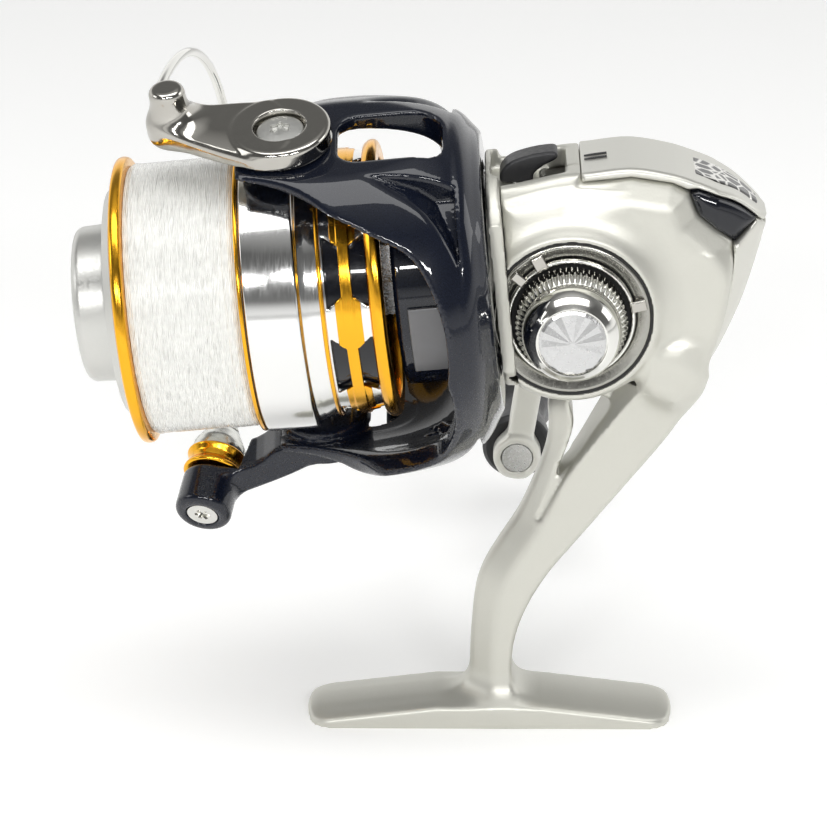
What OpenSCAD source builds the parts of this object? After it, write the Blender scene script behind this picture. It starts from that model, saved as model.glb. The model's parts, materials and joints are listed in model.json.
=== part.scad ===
// Spinning reel, front drag, 2500-size class.
// Origin: middle of the foot's underside. +Z up, -X to the spool and the line roller, +Y to the handle.
// Parts on the spool axis are drawn in an axis frame: local Z is the distance forward of the
// point where the axis crosses x = 0, local X is up and local Y stays +Y.

/* [Layout] */
// Height of the spool axis above the foot's underside, at x = 0
axis_height = 81.35; // [81:0.05:81.7]
// Tilt of the spool axis, nose towards the foot
axis_tilt = 5.54; // [5.4:0.02:5.7]
// Turn of the rotor at rest, top arm towards the cover side
rotor_turn = 16; // [0:1:30]
// Handle axis, distance behind x = 0
crank_x = 12.94; // [12.9:0.02:13]
// Handle axis, height above the foot's underside
crank_z = 77.6; // [77.5:0.05:77.7]

/* [Foot and stem] */
// Length of the foot
foot_len = 62.2; // [58:0.2:66]
// Width of the foot
foot_w = 14; // [13:0.5:15]
// Thickness of the foot beside the stem
foot_t = 4; // [3.6:0.1:4.2]
// Thickness of the foot at its two ends
foot_tip = 1.2; // [1:0.1:2]
// Width of the stem
stem_w = 9.2; // [8:0.2:10]

/* [Body] */
// Half width of the case on the handle side
case_far = 10.5; // [10.4:0.1:11]
// Half width of the case on the cover side
case_near = 10.5; // [10.4:0.1:11]
// Wall of the case
case_wall = 2; // [1.8:0.1:2]
// Radius of the raised boss round the handle axis
boss_r = 13.04; // [13:0.02:13.2]

/* [Handle] */
// Length of the handle arm between its two axes
arm_len = 52.7; // [51:0.1:54]
// Lean of the arm from straight down
arm_lean = 8.7; // [0:0.1:20]
// Width of the arm
arm_w = 5.4; // [5:0.1:6]

/* [Rotor and bail] */
// Greatest radius of the rotor
rotor_r = 32.2; // [32:0.1:32.4]
// Bail pivots, distance forward of x = 0
pivot_s = 30.3; // [30:0.1:30.6]
// Thickness of the bail wire
wire_d = 1.6; // [1.4:0.1:1.8]
// Radius of the line roller
roller_r = 5.2; // [4.8:0.1:5.3]

/* [Spool] */
// Diameter of the spool's front lip
lip_d = 47; // [46.6:0.1:47.2]
// Radius of the wound line
line_r = 22.3; // [19:0.1:22.6]
// Radius of the drag knob's grip
drag_r = 12.8; // [12:0.1:13.2]

/* [Hidden] */
$fn = 64;
fit = 0.06;
shaft_r = 2;
tube_r = 2.65;
handle_r = 1.8;
pinion_r = 3.6;
split_y = -3;
nose_r = 11.6;
trip_pivot = [0, -2.2, 13];
osc_x = 26.9;
osc_z = 78.5;
lip_r = lip_d / 2;
skirt_r = lip_r - 0.2;
arm_face = 28.5;
lever_in = 28.8;
lever_out = 33;
knob_y = 53;
roller_c = [-35.5, -1.7, 50.1];
roller_dir = [0.228, 0.95, -0.2175];

// Smooth curve through the points p, with n steps between two of them
function spline(a, b, c, d, t) =
    0.5 * (2 * b + (c - a) * t + (2 * a - 5 * b + 4 * c - d) * t * t + (3 * b - a - 3 * c + d) * t * t * t);
function curve(p, n = 4) = concat(
    [for (i = [0 : len(p) - 2], k = [0 : n - 1])
        spline(p[max(i - 1, 0)], p[i], p[i + 1], p[min(i + 2, len(p) - 1)], k / n)],
    [p[len(p) - 1]]);
function ring_point(r, a) = [r * cos(a), r * sin(a)];

module on_axis() {
    translate([0, 0, axis_height]) rotate([0, -90 - axis_tilt, 0]) children();
}
module on_rotor() {
    on_axis() rotate([0, 0, -rotor_turn]) children();
}
module on_crank() {
    translate([crank_x, 0, crank_z]) children();
}
module on_knob() {
    on_crank() rotate([0, arm_lean, 0]) translate([0, 0, -arm_len]) children();
}
module on_roller() {
    tilt = acos(roller_dir[2] / norm(roller_dir));
    on_rotor() translate(roller_c)
        rotate([0, tilt, atan2(roller_dir[1], roller_dir[0])]) children();
}
// Cylinders along the three local axes, from one place to another
module zcyl(r, a, b) {
    translate([0, 0, a]) cylinder(r = r, h = b - a);
}
module ycyl(r, a, b) {
    translate([0, a, 0]) rotate([-90, 0, 0]) cylinder(r = r, h = b - a);
}
module xcyl(r, a, b) {
    translate([a, 0, 0]) rotate([0, 90, 0]) cylinder(r = r, h = b - a);
}
module tube(r_in, r_out, a, b) {
    difference() {
        zcyl(r_out, a, b);
        zcyl(r_in, a - 1, b + 1);
    }
}
module ytube(r_in, r_out, a, b) {
    difference() {
        ycyl(r_out, a, b);
        ycyl(r_in, a - 1, b + 1);
    }
}
// Side outline in x and z, between two values of y
module slab(pts, a, b) {
    translate([0, b, 0]) rotate([90, 0, 0]) linear_extrude(b - a) polygon(pts);
}
// Profile of radius and height, turned about local Z, or about Y
module turned(pts) {
    rotate_extrude() polygon(pts);
}
module turned_y(pts) {
    rotate([-90, 0, 0]) rotate_extrude() polygon(pts);
}
module block(lo, hi) {
    translate(lo) cube(hi - lo);
}
// Round bar with teeth, in the plane of local X and Y
module toothed(r_root, r_tip, teeth, h) {
    pitch = 360 / teeth;
    linear_extrude(h) polygon([for (i = [0 : teeth - 1], k = [0 : 3])
        ring_point(k < 2 ? r_root : r_tip, (i + [0, 0.45, 0.58, 0.87][k]) * pitch)]);
}

// ---- case outlines, x and z
case_top = curve([[-0.6, 97.4], [4.8, 98.5], [10.7, 99.9], [14.3, 100.3]]);
under_trim = [[14.3, 98.8], [22.3, 99.7], [28.7, 98.7], [31.6, 97.2]];
seam = curve([[38.6, 88.9], [38.7, 84.6], [37.9, 77.7], [36.2, 71.6], [33.4, 67.8], [31.4, 64.6]]);
case_bottom = [[30.6, 61], [12, 61], [8.6, 60.6], [6.6, 58.2], [3, 57.6]];
case_outline = concat(case_top, under_trim, [[34, 94.2]], seam, case_bottom);
cavity_outline = [[5.8, 95.5], [13, 97.2], [22, 97.5], [28, 96.6], [31, 94.3], [34.5, 90.5], [36.6, 86.5],
                  [36.7, 84], [36, 78], [34.3, 72.5], [31.5, 68.5], [28.5, 64.5], [10, 63], [7, 63.6]];
trim_outline = concat([for (i = [3 : -1 : 0]) under_trim[i]],
    curve([[14.3, 100.5], [16, 100.7], [22.3, 101.4], [28.7, 100.4], [32.2, 98.9]]));
insert_outline = concat([[31.6, 97.2], [32.2, 98.9]], curve([[32.2, 98.9], [33.6, 99.1], [40.1, 95.7], [44.5, 91.7]]),
    [[39.4, 88.4], [38.6, 88.9], [34, 94.2]]);
rear_outline = concat([[38.6, 88.9], [39.4, 88.4]],
    curve([[44.5, 91.7], [43.1, 84.5], [41.4, 77.6], [40, 72.3], [38, 67], [35.8, 64.2]]),
    [for (i = [len(seam) - 1 : -1 : 0]) seam[i]]);
stem_front = curve([[10.4, 61.5], [9.6, 58], [9.7, 52.6], [8.4, 47.1], [5.1, 38.9], [1.8, 33.3],
                    [-0.8, 28.6], [-2.3, 23.9], [-3, 17.2], [-3.3, 11.5], [-5.2, 7.4], [-8, 5.2], [-12, 3.5]]);
stem_rear = curve([[12, 3.5], [8.2, 5.2], [5.6, 7.4], [3.8, 11.5], [4.7, 17.3], [6.9, 23], [10.2, 28.6],
                   [14.3, 33.9], [18.5, 39.3], [23.4, 45.7], [28.2, 52.6], [31.4, 58.1], [34, 62.8], [31.6, 64]]);
stem_outline = concat(stem_front, [[-12, 1], [12, 1]], stem_rear, [[30.6, 61.5]]);
stem_window = curve([[12.8, 59.4], [18.6, 59.4], [16.5, 54], [13.3, 48.5], [11, 46.7], [12.8, 51.2],
                     [13.6, 55.6], [12.8, 59.4]], 3);
screw_places = [[8.5, 93.5], [25, 95], [27.5, 67], [6.9, 65.2]];

// ---- body group
module foot() {
    end_r = 18;
    wedge = [[-foot_len / 2, 0], [foot_len / 2, 0], [foot_len / 2, foot_tip], [9, foot_t], [-9, foot_t],
             [-foot_len / 2, foot_tip]];
    intersection() {
        slab(wedge, -foot_w / 2, foot_w / 2);
        for (s = [-1, 1]) translate([s * (foot_len / 2 - end_r), 0, -1]) cylinder(r = end_r, h = 10);
    }
    intersection() {
        slab(wedge, -foot_w / 2, foot_w / 2);
        block([-foot_len / 2 + 8, -foot_w, 0], [foot_len / 2 - 8, foot_w, 10]);
    }
}
module screw_posts(a, b) {
    for (p = screw_places) translate([p[0], 0, p[1]]) ycyl(2.2, a, b);
}
module screw_holes(a, b) {
    for (p = screw_places) translate([p[0], 0, p[1]]) ycyl(1.1, a, b);
}
// Raised boss round the handle axis, cut back where the rotor turns
module boss() {
    difference() {
        on_crank() rotate([90, 0, 0]) turned([[0, 10], [17, 10], [16.6, 10.6], [14.2, 11.8], [boss_r + 0.6, 13],
            [0, 13]]);
        on_axis() zcyl(11.7, -1.2, 20);
        on_axis() difference() {
            zcyl(40, -0.9, 30);
            zcyl(15.6, -2, 31);
        }
    }
}
module reel_body() {
    color([0.76, 0.75, 0.70]) difference() {
        union() {
            difference() {
                slab(case_outline, split_y, case_far);
                slab(cavity_outline, split_y - 1, case_far - case_wall);
            }
            screw_posts(split_y, case_far - 1);
            on_crank() ycyl(12, case_far - 0.5, 14);
            on_axis() zcyl(19.2, -3, -0.9);
            on_axis() zcyl(6.6, -3.8, -2);
            on_axis() zcyl(nose_r, -1, 9);
            difference() {
                slab(stem_outline, -stem_w / 2, stem_w / 2);
                slab(stem_window, -stem_w, stem_w);
                block([-10, -20, 60.9], [40, split_y, 70]);
            }
            foot();
        }
        on_axis() zcyl(5, -5, 0);
        on_axis() zcyl(5.4, -9, -3.8);
        boss();
        on_axis() zcyl(10.4, -0.9, 10);
        on_axis() translate([6.2, 2.6, 0]) zcyl(1.2, -36, -1.9);
        on_crank() ycyl(10.9, -9, -4.9);
        on_crank() ycyl(6, 8, 12);
        on_crank() ycyl(4.5, 11, 15);
        translate([osc_x, 0, osc_z]) ycyl(shaft_r, 7, case_far - 0.8);
        screw_holes(split_y - 1, case_far + 1);
        for (p = screw_places) translate([p[0], 0, p[1]]) ycyl(2, case_far - 1.2, case_far + 1);
        block([0.5, -6, 96.4], [12, 6, 105]);
        translate([4, 0, 0]) zcyl(0.8, 95.9, 97);
    }
}
module cover_shell() {
    difference() {
        union() {
            difference() {
                slab(case_outline, -case_near, split_y);
                slab(cavity_outline, -case_near + 1.5, split_y + 1);
            }
            difference() {
                screw_posts(-case_near + 1, split_y);
                on_crank() ycyl(11.2, -9, split_y + 1);
            }
        }
        on_axis() zcyl(30, -3, 8);
        on_axis() zcyl(6.6, -4.3, 0);
        on_axis() zcyl(5.4, -9, -4);
    }
}
module side_cover() {
    color([0.78, 0.77, 0.73]) difference() {
        union() {
            cover_shell();
            boss();
        }
        on_crank() ycyl(10.9, -9, -2);
        on_crank() ycyl(boss_r, -14, -11.8);
        on_crank() ycyl(6, -11, -8);
        on_crank() ycyl(4.5, -12, -10);
        screw_holes(-8, 0);
        block([0.5, -6, 96.4], [12, 6, 105]);
    }
}
module rear_cover() {
    color([0.80, 0.79, 0.75]) slab(rear_outline, -9, 9);
}
module rear_insert() {
    color([0.05, 0.06, 0.09]) slab(insert_outline, -9.6, 9.6);
}
module top_trim() {
    color([0.74, 0.73, 0.69]) slab(trim_outline, -8, 8);
}
module boss_ring() {
    color([0.32, 0.31, 0.28]) on_crank() difference() {
        ytube(9, boss_r - 0.4, -12.9, -11.8);
        for (a = [100, 124, 8]) rotate([0, a, 0]) block([10, -14, -0.7], [13, -12.3, 0.7]);
    }
}
module boss_gasket() {
    color([0.05, 0.05, 0.05]) on_crank() ytube(boss_r - 0.4, boss_r, -12.8, -11.8);
}
module body_screws() {
    color([0.6, 0.6, 0.6]) for (p = screw_places) translate([p[0], 0, p[1]]) difference() {
        union() {
            ycyl(1.1, -8, case_far - 1);
            ycyl(1.9, case_far - 1.2, case_far);
        }
        block([-1.3, case_far - 0.5, -0.25], [1.3, case_far + 1, 0.25]);
        block([-0.25, case_far - 0.5, -1.3], [0.25, case_far + 1, 1.3]);
    }
}
module drive_bearings() {
    color([0.7, 0.7, 0.72]) on_crank() for (y = [-11, 9]) ytube(tube_r + 0.05, 6, y, y + 2);
}
module pinion_bearing() {
    color([0.7, 0.7, 0.72]) on_axis() tube(pinion_r + 0.05, 5, -3.8, -1);
}
module one_way_clutch() {
    color([0.5, 0.5, 0.52]) on_axis() difference() {
        zcyl(10.4, 0.2, 8.2);
        zcyl(6.26, 0, 9);
        for (a = [0 : 60 : 300]) rotate([0, 0, a]) translate([8.4, 0, 0]) zcyl(1.2, 1, 9);
    }
}
module clutch_retainer() {
    color([0.55, 0.55, 0.56]) on_axis() tube(6.8, 10.4, 8.2, 9);
}
module guide_rod() {
    color([0.72, 0.72, 0.74]) on_axis() translate([6.2, 2.6, 0]) zcyl(1.2, -36, -1.9);
}
module oscillation_post() {
    color([0.66, 0.66, 0.68]) translate([osc_x, 0, osc_z]) ycyl(shaft_r, 5, case_far - 0.8);
}
module lever_pin() {
    color([0.6, 0.6, 0.62]) translate([4, 0, 0]) zcyl(0.8, 95.9, 99.4);
}
module anti_reverse_lever() {
    color([0.04, 0.04, 0.05]) difference() {
        slab([[1.6, 96.7], [1.7, 99.6], [3.2, 101.3], [7, 101.8], [10.8, 101.6], [10.8, 100.4], [8.2, 99.4],
              [6.8, 98], [6.6, 96.7]], -2.4, 2.4);
        translate([4, 0, 0]) zcyl(0.8 + fit, 90, 99.6);
    }
}

// ---- handle group
module drive_gear() {
    color([0.72, 0.66, 0.45]) on_crank() difference() {
        union() {
            ycyl(10.5, -8.6, -6.4);
            ycyl(5, -8.6, -5.4);
            for (i = [0 : 47]) rotate([0, i * 7.5, 0]) block([6.4, -6.5, -0.25], [10.4, -5.3, 0.25]);
            translate([0, 5.4, 0]) rotate([-90, 0, 0]) toothed(4.9, 5.8, 18, 2.2);
        }
        ycyl(tube_r, -10, 10);
    }
}
module drive_tube() {
    color([0.68, 0.68, 0.70]) on_crank() ytube(handle_r, tube_r, -11.7, 13.9);
}
module handle_shaft() {
    color([0.70, 0.70, 0.72]) on_crank() ycyl(handle_r, -18, 37);
}
module handle_collar() {
    color([0.75, 0.74, 0.71]) on_crank() turned_y([[handle_r, 14.3], [5.6, 14.3], [5.6, 15.4], [4.4, 24],
        [4.4, 30], [handle_r, 30]]);
}
module handle_arm() {
    inner = [[-5.2, 30], [5.2, 30], [6, 35], [12, 40.2], [24, 46.4], [36, 48.2], [arm_len, 48.6]];
    outer = [[arm_len, 52.2], [36, 52], [23, 50.4], [10, 43.8], [4, 38], [-5.2, 38]];
    color([0.74, 0.73, 0.70]) difference() {
        union() {
            on_crank() rotate([0, arm_lean, 0]) rotate([0, 90, 0])
                linear_extrude(arm_w, center = true) polygon(concat(inner, outer));
            on_crank() ycyl(5.2, 30, 38);
            on_knob() ycyl(4.35, 48.4, 52.4);
        }
        on_crank() ycyl(handle_r, 28, 37);
        on_knob() ycyl(1.9, 47, 54);
        on_knob() ycyl(2.75, 47, 49.2);
    }
}
module knob_shaft() {
    color([0.78, 0.74, 0.62]) on_knob() {
        ycyl(1.9, 49, 79);
        ycyl(2.75, 48.3, 49.2);
    }
}
module knob_screw() {
    color([0.6, 0.6, 0.62]) on_knob() difference() {
        ycyl(3, 79, 80);
        block([-2, 79.5, -0.3], [2, 81, 0.3]);
    }
}
module screw_cap() {
    color([0.72, 0.71, 0.68]) on_crank() rotate([90, 0, 0]) turned(
        [[handle_r + fit, 12.1], [8, 12.1], [8.25, 12.6], [8.25, 15.2], [7.8, 15.8], [7.7, 18.2], [6.9, 20.6],
         [5.4, 22.8], [5.1, 22.8], [5.1, 22], [0, 22], [0, 18.6], [handle_r + fit, 18.6]]);
}
module cap_disc() {
    color([0.80, 0.79, 0.76]) on_crank() rotate([90, 0, 0]) turned([[0, 22], [5.1, 22], [5.1, 22.9], [0, 23.55]]);
}
module knob_grip() {
    grip = curve([[5.8, 53], [6.3, 54.4], [6.0, 58], [5.4, 64], [6.2, 70], [7.4, 75], [7.9, 79], [6.6, 82.4]], 3);
    color([0.06, 0.06, 0.07]) on_knob()
        turned_y(concat([[3.4, 53]], grip, [[5.2, 82.4], [5.2, 80.4], [3.4, 80.4]]));
}
module knob_cap() {
    color([0.70, 0.69, 0.66]) on_knob() ycyl(5.2, 80.4, 82.6);
}
module knob_bushes() {
    color([0.75, 0.68, 0.45]) on_knob() for (y = [knob_y + 0.2, 74]) ytube(1.9 + fit, 3.4, y, y + 4);
}
module oscillation_gear() {
    color([0.70, 0.63, 0.42]) translate([osc_x, 0, osc_z]) difference() {
        union() {
            translate([0, 5.4, 0]) rotate([-90, 0, 0]) toothed(7, 7.9, 24, 2.2);
            translate([5.2, 0, 0]) ycyl(1.2, 4.3, 6);
        }
        ycyl(shaft_r + fit, 4, 9);
    }
}

// ---- rotor group
module bowl() {
    turned(concat([[16.2, -0.4]],
        curve([[22.9, -0.4], [24.6, 0.6], [28.2, 3.2], [30.6, 8], [31.8, 14], [rotor_r, 20], [32, 27], [30.8, 37.9]], 3),
        curve([[28.2, 37.9], [28.4, 27], [28.4, 20], [27.8, 14], [26.2, 9], [23.4, 5.2], [19.5, 3.4], [16.2, 3.2]], 3)));
}
module rotor() {
    edge = curve([[0, 7.4], [4.4, 6.9], [9.6, 7.2], [15, 8.9], [19.2, 11.6], [21.7, 15.6], [23.9, 22], [25.1, 29],
        [26, 36], [26.4, 44]], 3);
    mouth = concat([for (p = edge) [-p[0], p[1]]], [for (i = [len(edge) - 1 : -1 : 1]) edge[i]]);
    color([0.10, 0.11, 0.15]) on_rotor() difference() {
        union() {
            difference() {
                bowl();
                rotate([90, 0, 0]) linear_extrude(80, center = true) polygon(mouth);
                for (s = [-1, 1]) translate([0, 30 * s, pivot_s + 11]) xcyl(22.4, -40, 40);
                for (s = [-1, 1]) translate([0, 0, pivot_s]) xcyl(27, s > 0 ? arm_face : -60, s > 0 ? 60 : -arm_face);
                block([20, -5.4, 6], [40, 5.4, 21]);
                block([-40, -4.5, 11], [-29, 4.5, 20.5]);
            }
            tube(16.2, 17.6, -0.4, 15);
            tube(pinion_r, 17.6, 12, 14.5);
            translate(trip_pivot) xcyl(0.45, -30.2, -28.7);
            for (s = [-1, 1]) translate([0, 0, pivot_s])
                xcyl(7.4, s > 0 ? 25.9 : -arm_face, s > 0 ? arm_face : -25.9);
        }
        translate([0, 0, pivot_s]) xcyl(2, -40, 40);
        tube(skirt_r + 2, 60, pivot_s + 7.6, pivot_s + 20);
    }
}
module rotor_nut() {
    color([0.66, 0.66, 0.68]) on_rotor() difference() {
        translate([0, 0, 14.5]) cylinder(r = 6.5, h = 3.5, $fn = 6);
        zcyl(pinion_r, 14, 19);
    }
}
module rotor_plate() {
    color([0.45, 0.45, 0.46]) on_rotor() rotate([0, 0, -110]) rotate_extrude(angle = 40)
        polygon([[17.6, 4], [18.4, 4], [18.4, 13], [17.6, 13]]);
}
module arm_cover() {
    color([0.10, 0.11, 0.15]) on_rotor() intersection() {
        bowl();
        block([-40, -4.5, 11], [-30.3, 4.5, 20.5]);
    }
}
module bail_spring() {
    color([0.6, 0.6, 0.6]) on_rotor() translate([-29.65, 1.6, 0]) tube(0.35, 0.6, 11.6, 19.5);
}
module trip_lever() {
    color([0.55, 0.55, 0.56]) on_rotor() difference() {
        union() {
            block([-30.2, -2.9, 13], [-29.1, -1.5, 19.6]);
            translate(trip_pivot) xcyl(1.1, -30.2, -29.1);
        }
        translate(trip_pivot) xcyl(0.45 + fit, -31, -28);
    }
}
module pinion_gear() {
    color([0.74, 0.68, 0.46]) on_rotor() difference() {
        union() {
            zcyl(pinion_r, -4.2, 18.2);
            translate([0, 0, -9.5]) toothed(3.7, 4.9, 10, 5.3);
        }
        zcyl(shaft_r + fit, -12, 20);
    }
}
module clutch_sleeve() {
    color([0.62, 0.62, 0.64]) on_rotor() tube(pinion_r, 6.2, 0.1, 8.4);
}
module bail_screws() {
    color([0.75, 0.74, 0.72]) on_rotor() for (s = [0, 1]) mirror([s, 0, 0]) translate([0, 0, pivot_s]) difference() {
        union() {
            xcyl(2, 25.9, 31.6);
            xcyl(3.8, 31.5, 32.8);
        }
        for (a = [0 : 60 : 120]) rotate([a, 0, 0]) block([32.1, -1.6, -0.4], [34, 1.6, 0.4]);
    }
}

// ---- bail group
module bail_lever() {
    color([0.62, 0.61, 0.57]) on_rotor() difference() {
        union() {
            translate([0, 0, pivot_s]) xcyl(7.6, lever_in, lever_out);
            translate([lever_in + 0.3, 0, 0]) rotate([90, 0, 90]) linear_extrude(3.4)
                polygon([[-6.8, 32.8], [-4.4, 39], [-1, 44.4], [2.6, 50.2], [7.4, 50.2], [7.8, 44], [7.4, 32]]);
            translate([0, 4.9, 47.6]) xcyl(2.6, lever_in + 0.3, 38.2);
        }
        translate([0, 0, pivot_s]) xcyl(shaft_r + fit, 20, 40);
        translate([0, 0, pivot_s]) xcyl(4.2, 31.2, 40);
        translate(wire_point(wire_start)) rotate([0, wire_lean, wire_turn]) zcyl(wire_d / 2 + 0.1, 0, 5);
    }
}
wire_start = 7;
wire_end = 171.42;
function wire_point(a) = a < 90
    ? [36 * cos(a), 46 * sin(a), 50 - 8 * sin(a)]
    : [33.8 * cos(a), 46 * sin(a), 49.1 - 7.1 * sin(a)];
function unit(v) = v / norm(v);
wire_way = unit(wire_point(wire_start + 0.5) - wire_point(wire_start - 0.5));
wire_lean = acos(wire_way[2]);
wire_turn = atan2(wire_way[1], wire_way[0]);
// Tube of eight sides along the wire's curve
module bail_wire() {
    steps = 42;
    sides = 8;
    angle = function(i) wire_start + (wire_end - wire_start) * i / steps;
    pts = [for (i = [0 : steps]) let (
        t = unit(wire_point(angle(i) + 0.5) - wire_point(angle(i) - 0.5)),
        u = unit(cross(t, [0, 0.17, 1])),
        v = cross(t, u))
        for (k = [0 : sides - 1]) wire_point(angle(i)) + wire_d / 2 * (cos(k * 360 / sides) * u
            + sin(k * 360 / sides) * v)];
    walls = [for (i = [0 : steps - 1], k = [0 : sides - 1]) let (n = (k + 1) % sides)
        [i * sides + k, i * sides + n, (i + 1) * sides + n, (i + 1) * sides + k]];
    ends = [[for (k = [sides - 1 : -1 : 0]) k], [for (k = [0 : sides - 1]) steps * sides + k]];
    color([0.80, 0.80, 0.80]) on_rotor() polyhedron(pts, concat(walls, ends));
}
module wire_cone() {
    color([0.82, 0.82, 0.80]) on_roller() difference() {
        translate([0, 0, 2.3]) cylinder(r1 = 4.6, r2 = 1.5, h = 6.7);
        zcyl(1.5, 0, 4);
    }
}
module roller_lever() {
    color([0.09, 0.09, 0.11]) difference() {
        union() {
            on_rotor() translate([0, 0, pivot_s]) xcyl(7, -lever_out, -lever_in);
            on_rotor() translate([0, 1.5, 0]) rotate([90, 0, 0]) linear_extrude(8)
                polygon([[-lever_in, 33], [-lever_out, 33], [-37.2, 42], [-39.2, 50.5], [-34, 50.5],
                    [-31.8, 42], [-lever_in, 37.6]]);
            on_roller() zcyl(4.8, -10.2, -2.3);
        }
        on_rotor() translate([0, 0, pivot_s]) xcyl(shaft_r + fit, -60, 0);
        on_rotor() translate([0, 0, pivot_s]) xcyl(4.2, -60, -31.2);
        on_roller() zcyl(6.2, -2.3, 12);
        on_roller() zcyl(1.5, -20, 0);
        on_roller() zcyl(2.7, -20, -8.6);
    }
}
module roller_axle() {
    color([0.75, 0.74, 0.72]) on_roller() difference() {
        union() {
            zcyl(1.5, -9, 4);
            zcyl(2.6, -10, -8.6);
        }
        for (a = [0 : 60 : 120]) rotate([0, 0, a]) block([-1.3, -0.3, -11], [1.3, 0.3, -9.4]);
    }
}
module roller_bearing() {
    color([0.7, 0.7, 0.72]) on_roller() {
        tube(1.5, 2.95, -1.9, 1.9);
        tube(1.5, 2.2, 1.9, 2.3);
        tube(1.5, 2.2, -2.3, -1.9);
    }
}
module line_roller() {
    color([0.80, 0.58, 0.16]) on_roller() turned([[3, -2], [roller_r - 0.2, -2], [roller_r, -1.5], [4.5, -0.4],
        [4.5, 0.5], [roller_r, 1.6], [roller_r - 0.2, 2], [3, 2]]);
}

// ---- spool carriage, slides along the axis
module main_shaft() {
    color([0.74, 0.74, 0.76]) on_axis() zcyl(shaft_r, -30, 62);
}
module oscillation_slider() {
    color([0.55, 0.55, 0.57]) on_axis() difference() {
        union() {
            block([-4.2, -3.8, -28.7], [4.2, 3.8, -23.7]);
            block([-8, 1.6, -27.7], [4.2, 3.8, -24.7]);
            block([3, 0.9, -26.7], [7.9, 4.2, -24.7]);
        }
        zcyl(shaft_r, -40, 0);
        translate([6.2, 2.6, 0]) zcyl(1.2 + fit, -40, 0);
    }
}
module spool_support() {
    color([0.75, 0.72, 0.55]) on_axis() difference() {
        union() {
            zcyl(5.4, 30, 33);
            zcyl(4, 33, 37.7);
        }
        zcyl(shaft_r, 20, 40);
    }
}
module drag_plates() {
    color([0.7, 0.7, 0.72]) on_axis() for (s = [51.75, 54.05]) tube(shaft_r, 14.2, s, s + 1);
}

// ---- spool group, turns on the carriage
module spool_core() {
    color([0.80, 0.80, 0.78]) on_axis() turned([[shaft_r + fit, 38], [6, 38], [6, 48.5], [15.4, 48.5], [15.4, 36.5],
        [21.6, 36.5], [21.6, 39], [17.4, 39], [17.4, 56.7], [19.6, 56.7], [19.6, 58.9], [18.2, 60.6],
        [15.2, 60.6], [15.2, 50.5], [shaft_r + fit, 50.5]]);
}
module spool_lip() {
    color([0.92, 0.58, 0.12]) on_axis() turned([[19.6, 56.7], [22.2, 56.7], [lip_r - 0.25, 57.1], [lip_r, 57.75],
        [lip_r - 0.25, 58.4], [22.2, 58.9], [19.6, 58.9]]);
}
module skirt_cell(near, far) {
    // one window of the skirt, wide at its far edge, cut straight through the wall
    translate([18, 0, 0]) rotate([90, 0, 90]) linear_extrude(6)
        polygon([[-4.1, near], [4.1, near], [5.7, far], [-5.7, far]]);
}
module spool_skirt() {
    color([0.78, 0.78, 0.77]) on_axis() difference() {
        turned([[21.6, 38.2], [22.7, 38.2], [skirt_r, 37.8], [skirt_r, 29.7], [22.7, 29.2], [22.2, 28.6],
            [21.3, 26.3], [21.3, 18.6], [20.1, 18.6], [20.1, 29], [21.6, 31]]);
        for (a = [0 : 45 : 315]) rotate([0, 0, a - 19.5]) {
            skirt_cell(23, 25.3);
            skirt_cell(20.9, 19.1);
        }
    }
}
module skirt_rings() {
    color([0.90, 0.62, 0.16]) on_axis() {
        tube(21.6, skirt_r, 38.2, 39);
        tube(21.3, 21.9, 25.7, 26.3);
        tube(21.3, 22.1, 21, 22.8);
    }
}
module rear_flange() {
    color([0.92, 0.60, 0.12]) on_axis() turned([[19.6, 16], [22.1, 16], [22.7, 16.6], [22.6, 17.8],
        [21.9, 18.6], [19.6, 18.6]]);
}
module wound_line() {
    color([0.90, 0.90, 0.88]) on_axis() turned([[17.4, 39], [line_r - 0.4, 39], [line_r, 41.5], [line_r, 54],
        [line_r - 0.4, 56.7], [17.4, 56.7]]);
}
module drag_felts() {
    color([0.25, 0.24, 0.22]) on_axis() for (s = [50.5, 52.8, 55.1]) tube(shaft_r + 0.3, 14.6, s, s + 1.2);
}
module drag_retainer() {
    color([0.7, 0.7, 0.72]) on_axis() tube(13.4, 15.2, 56.3, 56.9);
}
module line_clip() {
    color([0.85, 0.85, 0.84]) on_axis() rotate([0, 0, 60])
        block([skirt_r + 0.02, -1.6, 32.5], [skirt_r + 0.9, 1.6, 36.5]);
}

// ---- drag knob group
module drag_knob() {
    color([0.72, 0.71, 0.68]) on_axis() turned([[5, 57.2], [14.4, 57.2], [14.4, 60.2], [drag_r, 61.2],
        [drag_r - 0.2, 66], [drag_r - 0.8, 66.8], [9.4, 66.8], [8.8, 65.8], [0, 65.8], [0, 63.4], [5, 63.4]]);
}
module drag_nut() {
    color([0.75, 0.70, 0.5]) on_axis() difference() {
        translate([0, 0, 58.6]) cylinder(r = 4.6, h = 3, $fn = 6);
        zcyl(shaft_r + fit, 58, 63);
    }
}

reel_body();
side_cover();
rear_cover();
rear_insert();
top_trim();
boss_ring();
boss_gasket();
body_screws();
drive_bearings();
pinion_bearing();
one_way_clutch();
clutch_retainer();
guide_rod();
oscillation_post();
lever_pin();
anti_reverse_lever();
drive_gear();
drive_tube();
handle_shaft();
handle_collar();
handle_arm();
knob_shaft();
knob_screw();
screw_cap();
cap_disc();
knob_grip();
knob_cap();
knob_bushes();
oscillation_gear();
pinion_gear();
clutch_sleeve();
rotor();
rotor_nut();
rotor_plate();
arm_cover();
bail_spring();
bail_screws();
trip_lever();
bail_lever();
bail_wire();
wire_cone();
roller_lever();
roller_axle();
roller_bearing();
line_roller();
main_shaft();
oscillation_slider();
spool_support();
drag_plates();
spool_core();
spool_lip();
spool_skirt();
skirt_rings();
rear_flange();
wound_line();
drag_felts();
drag_retainer();
drag_knob();
drag_nut();
line_clip();
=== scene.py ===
import json
import math

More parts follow.
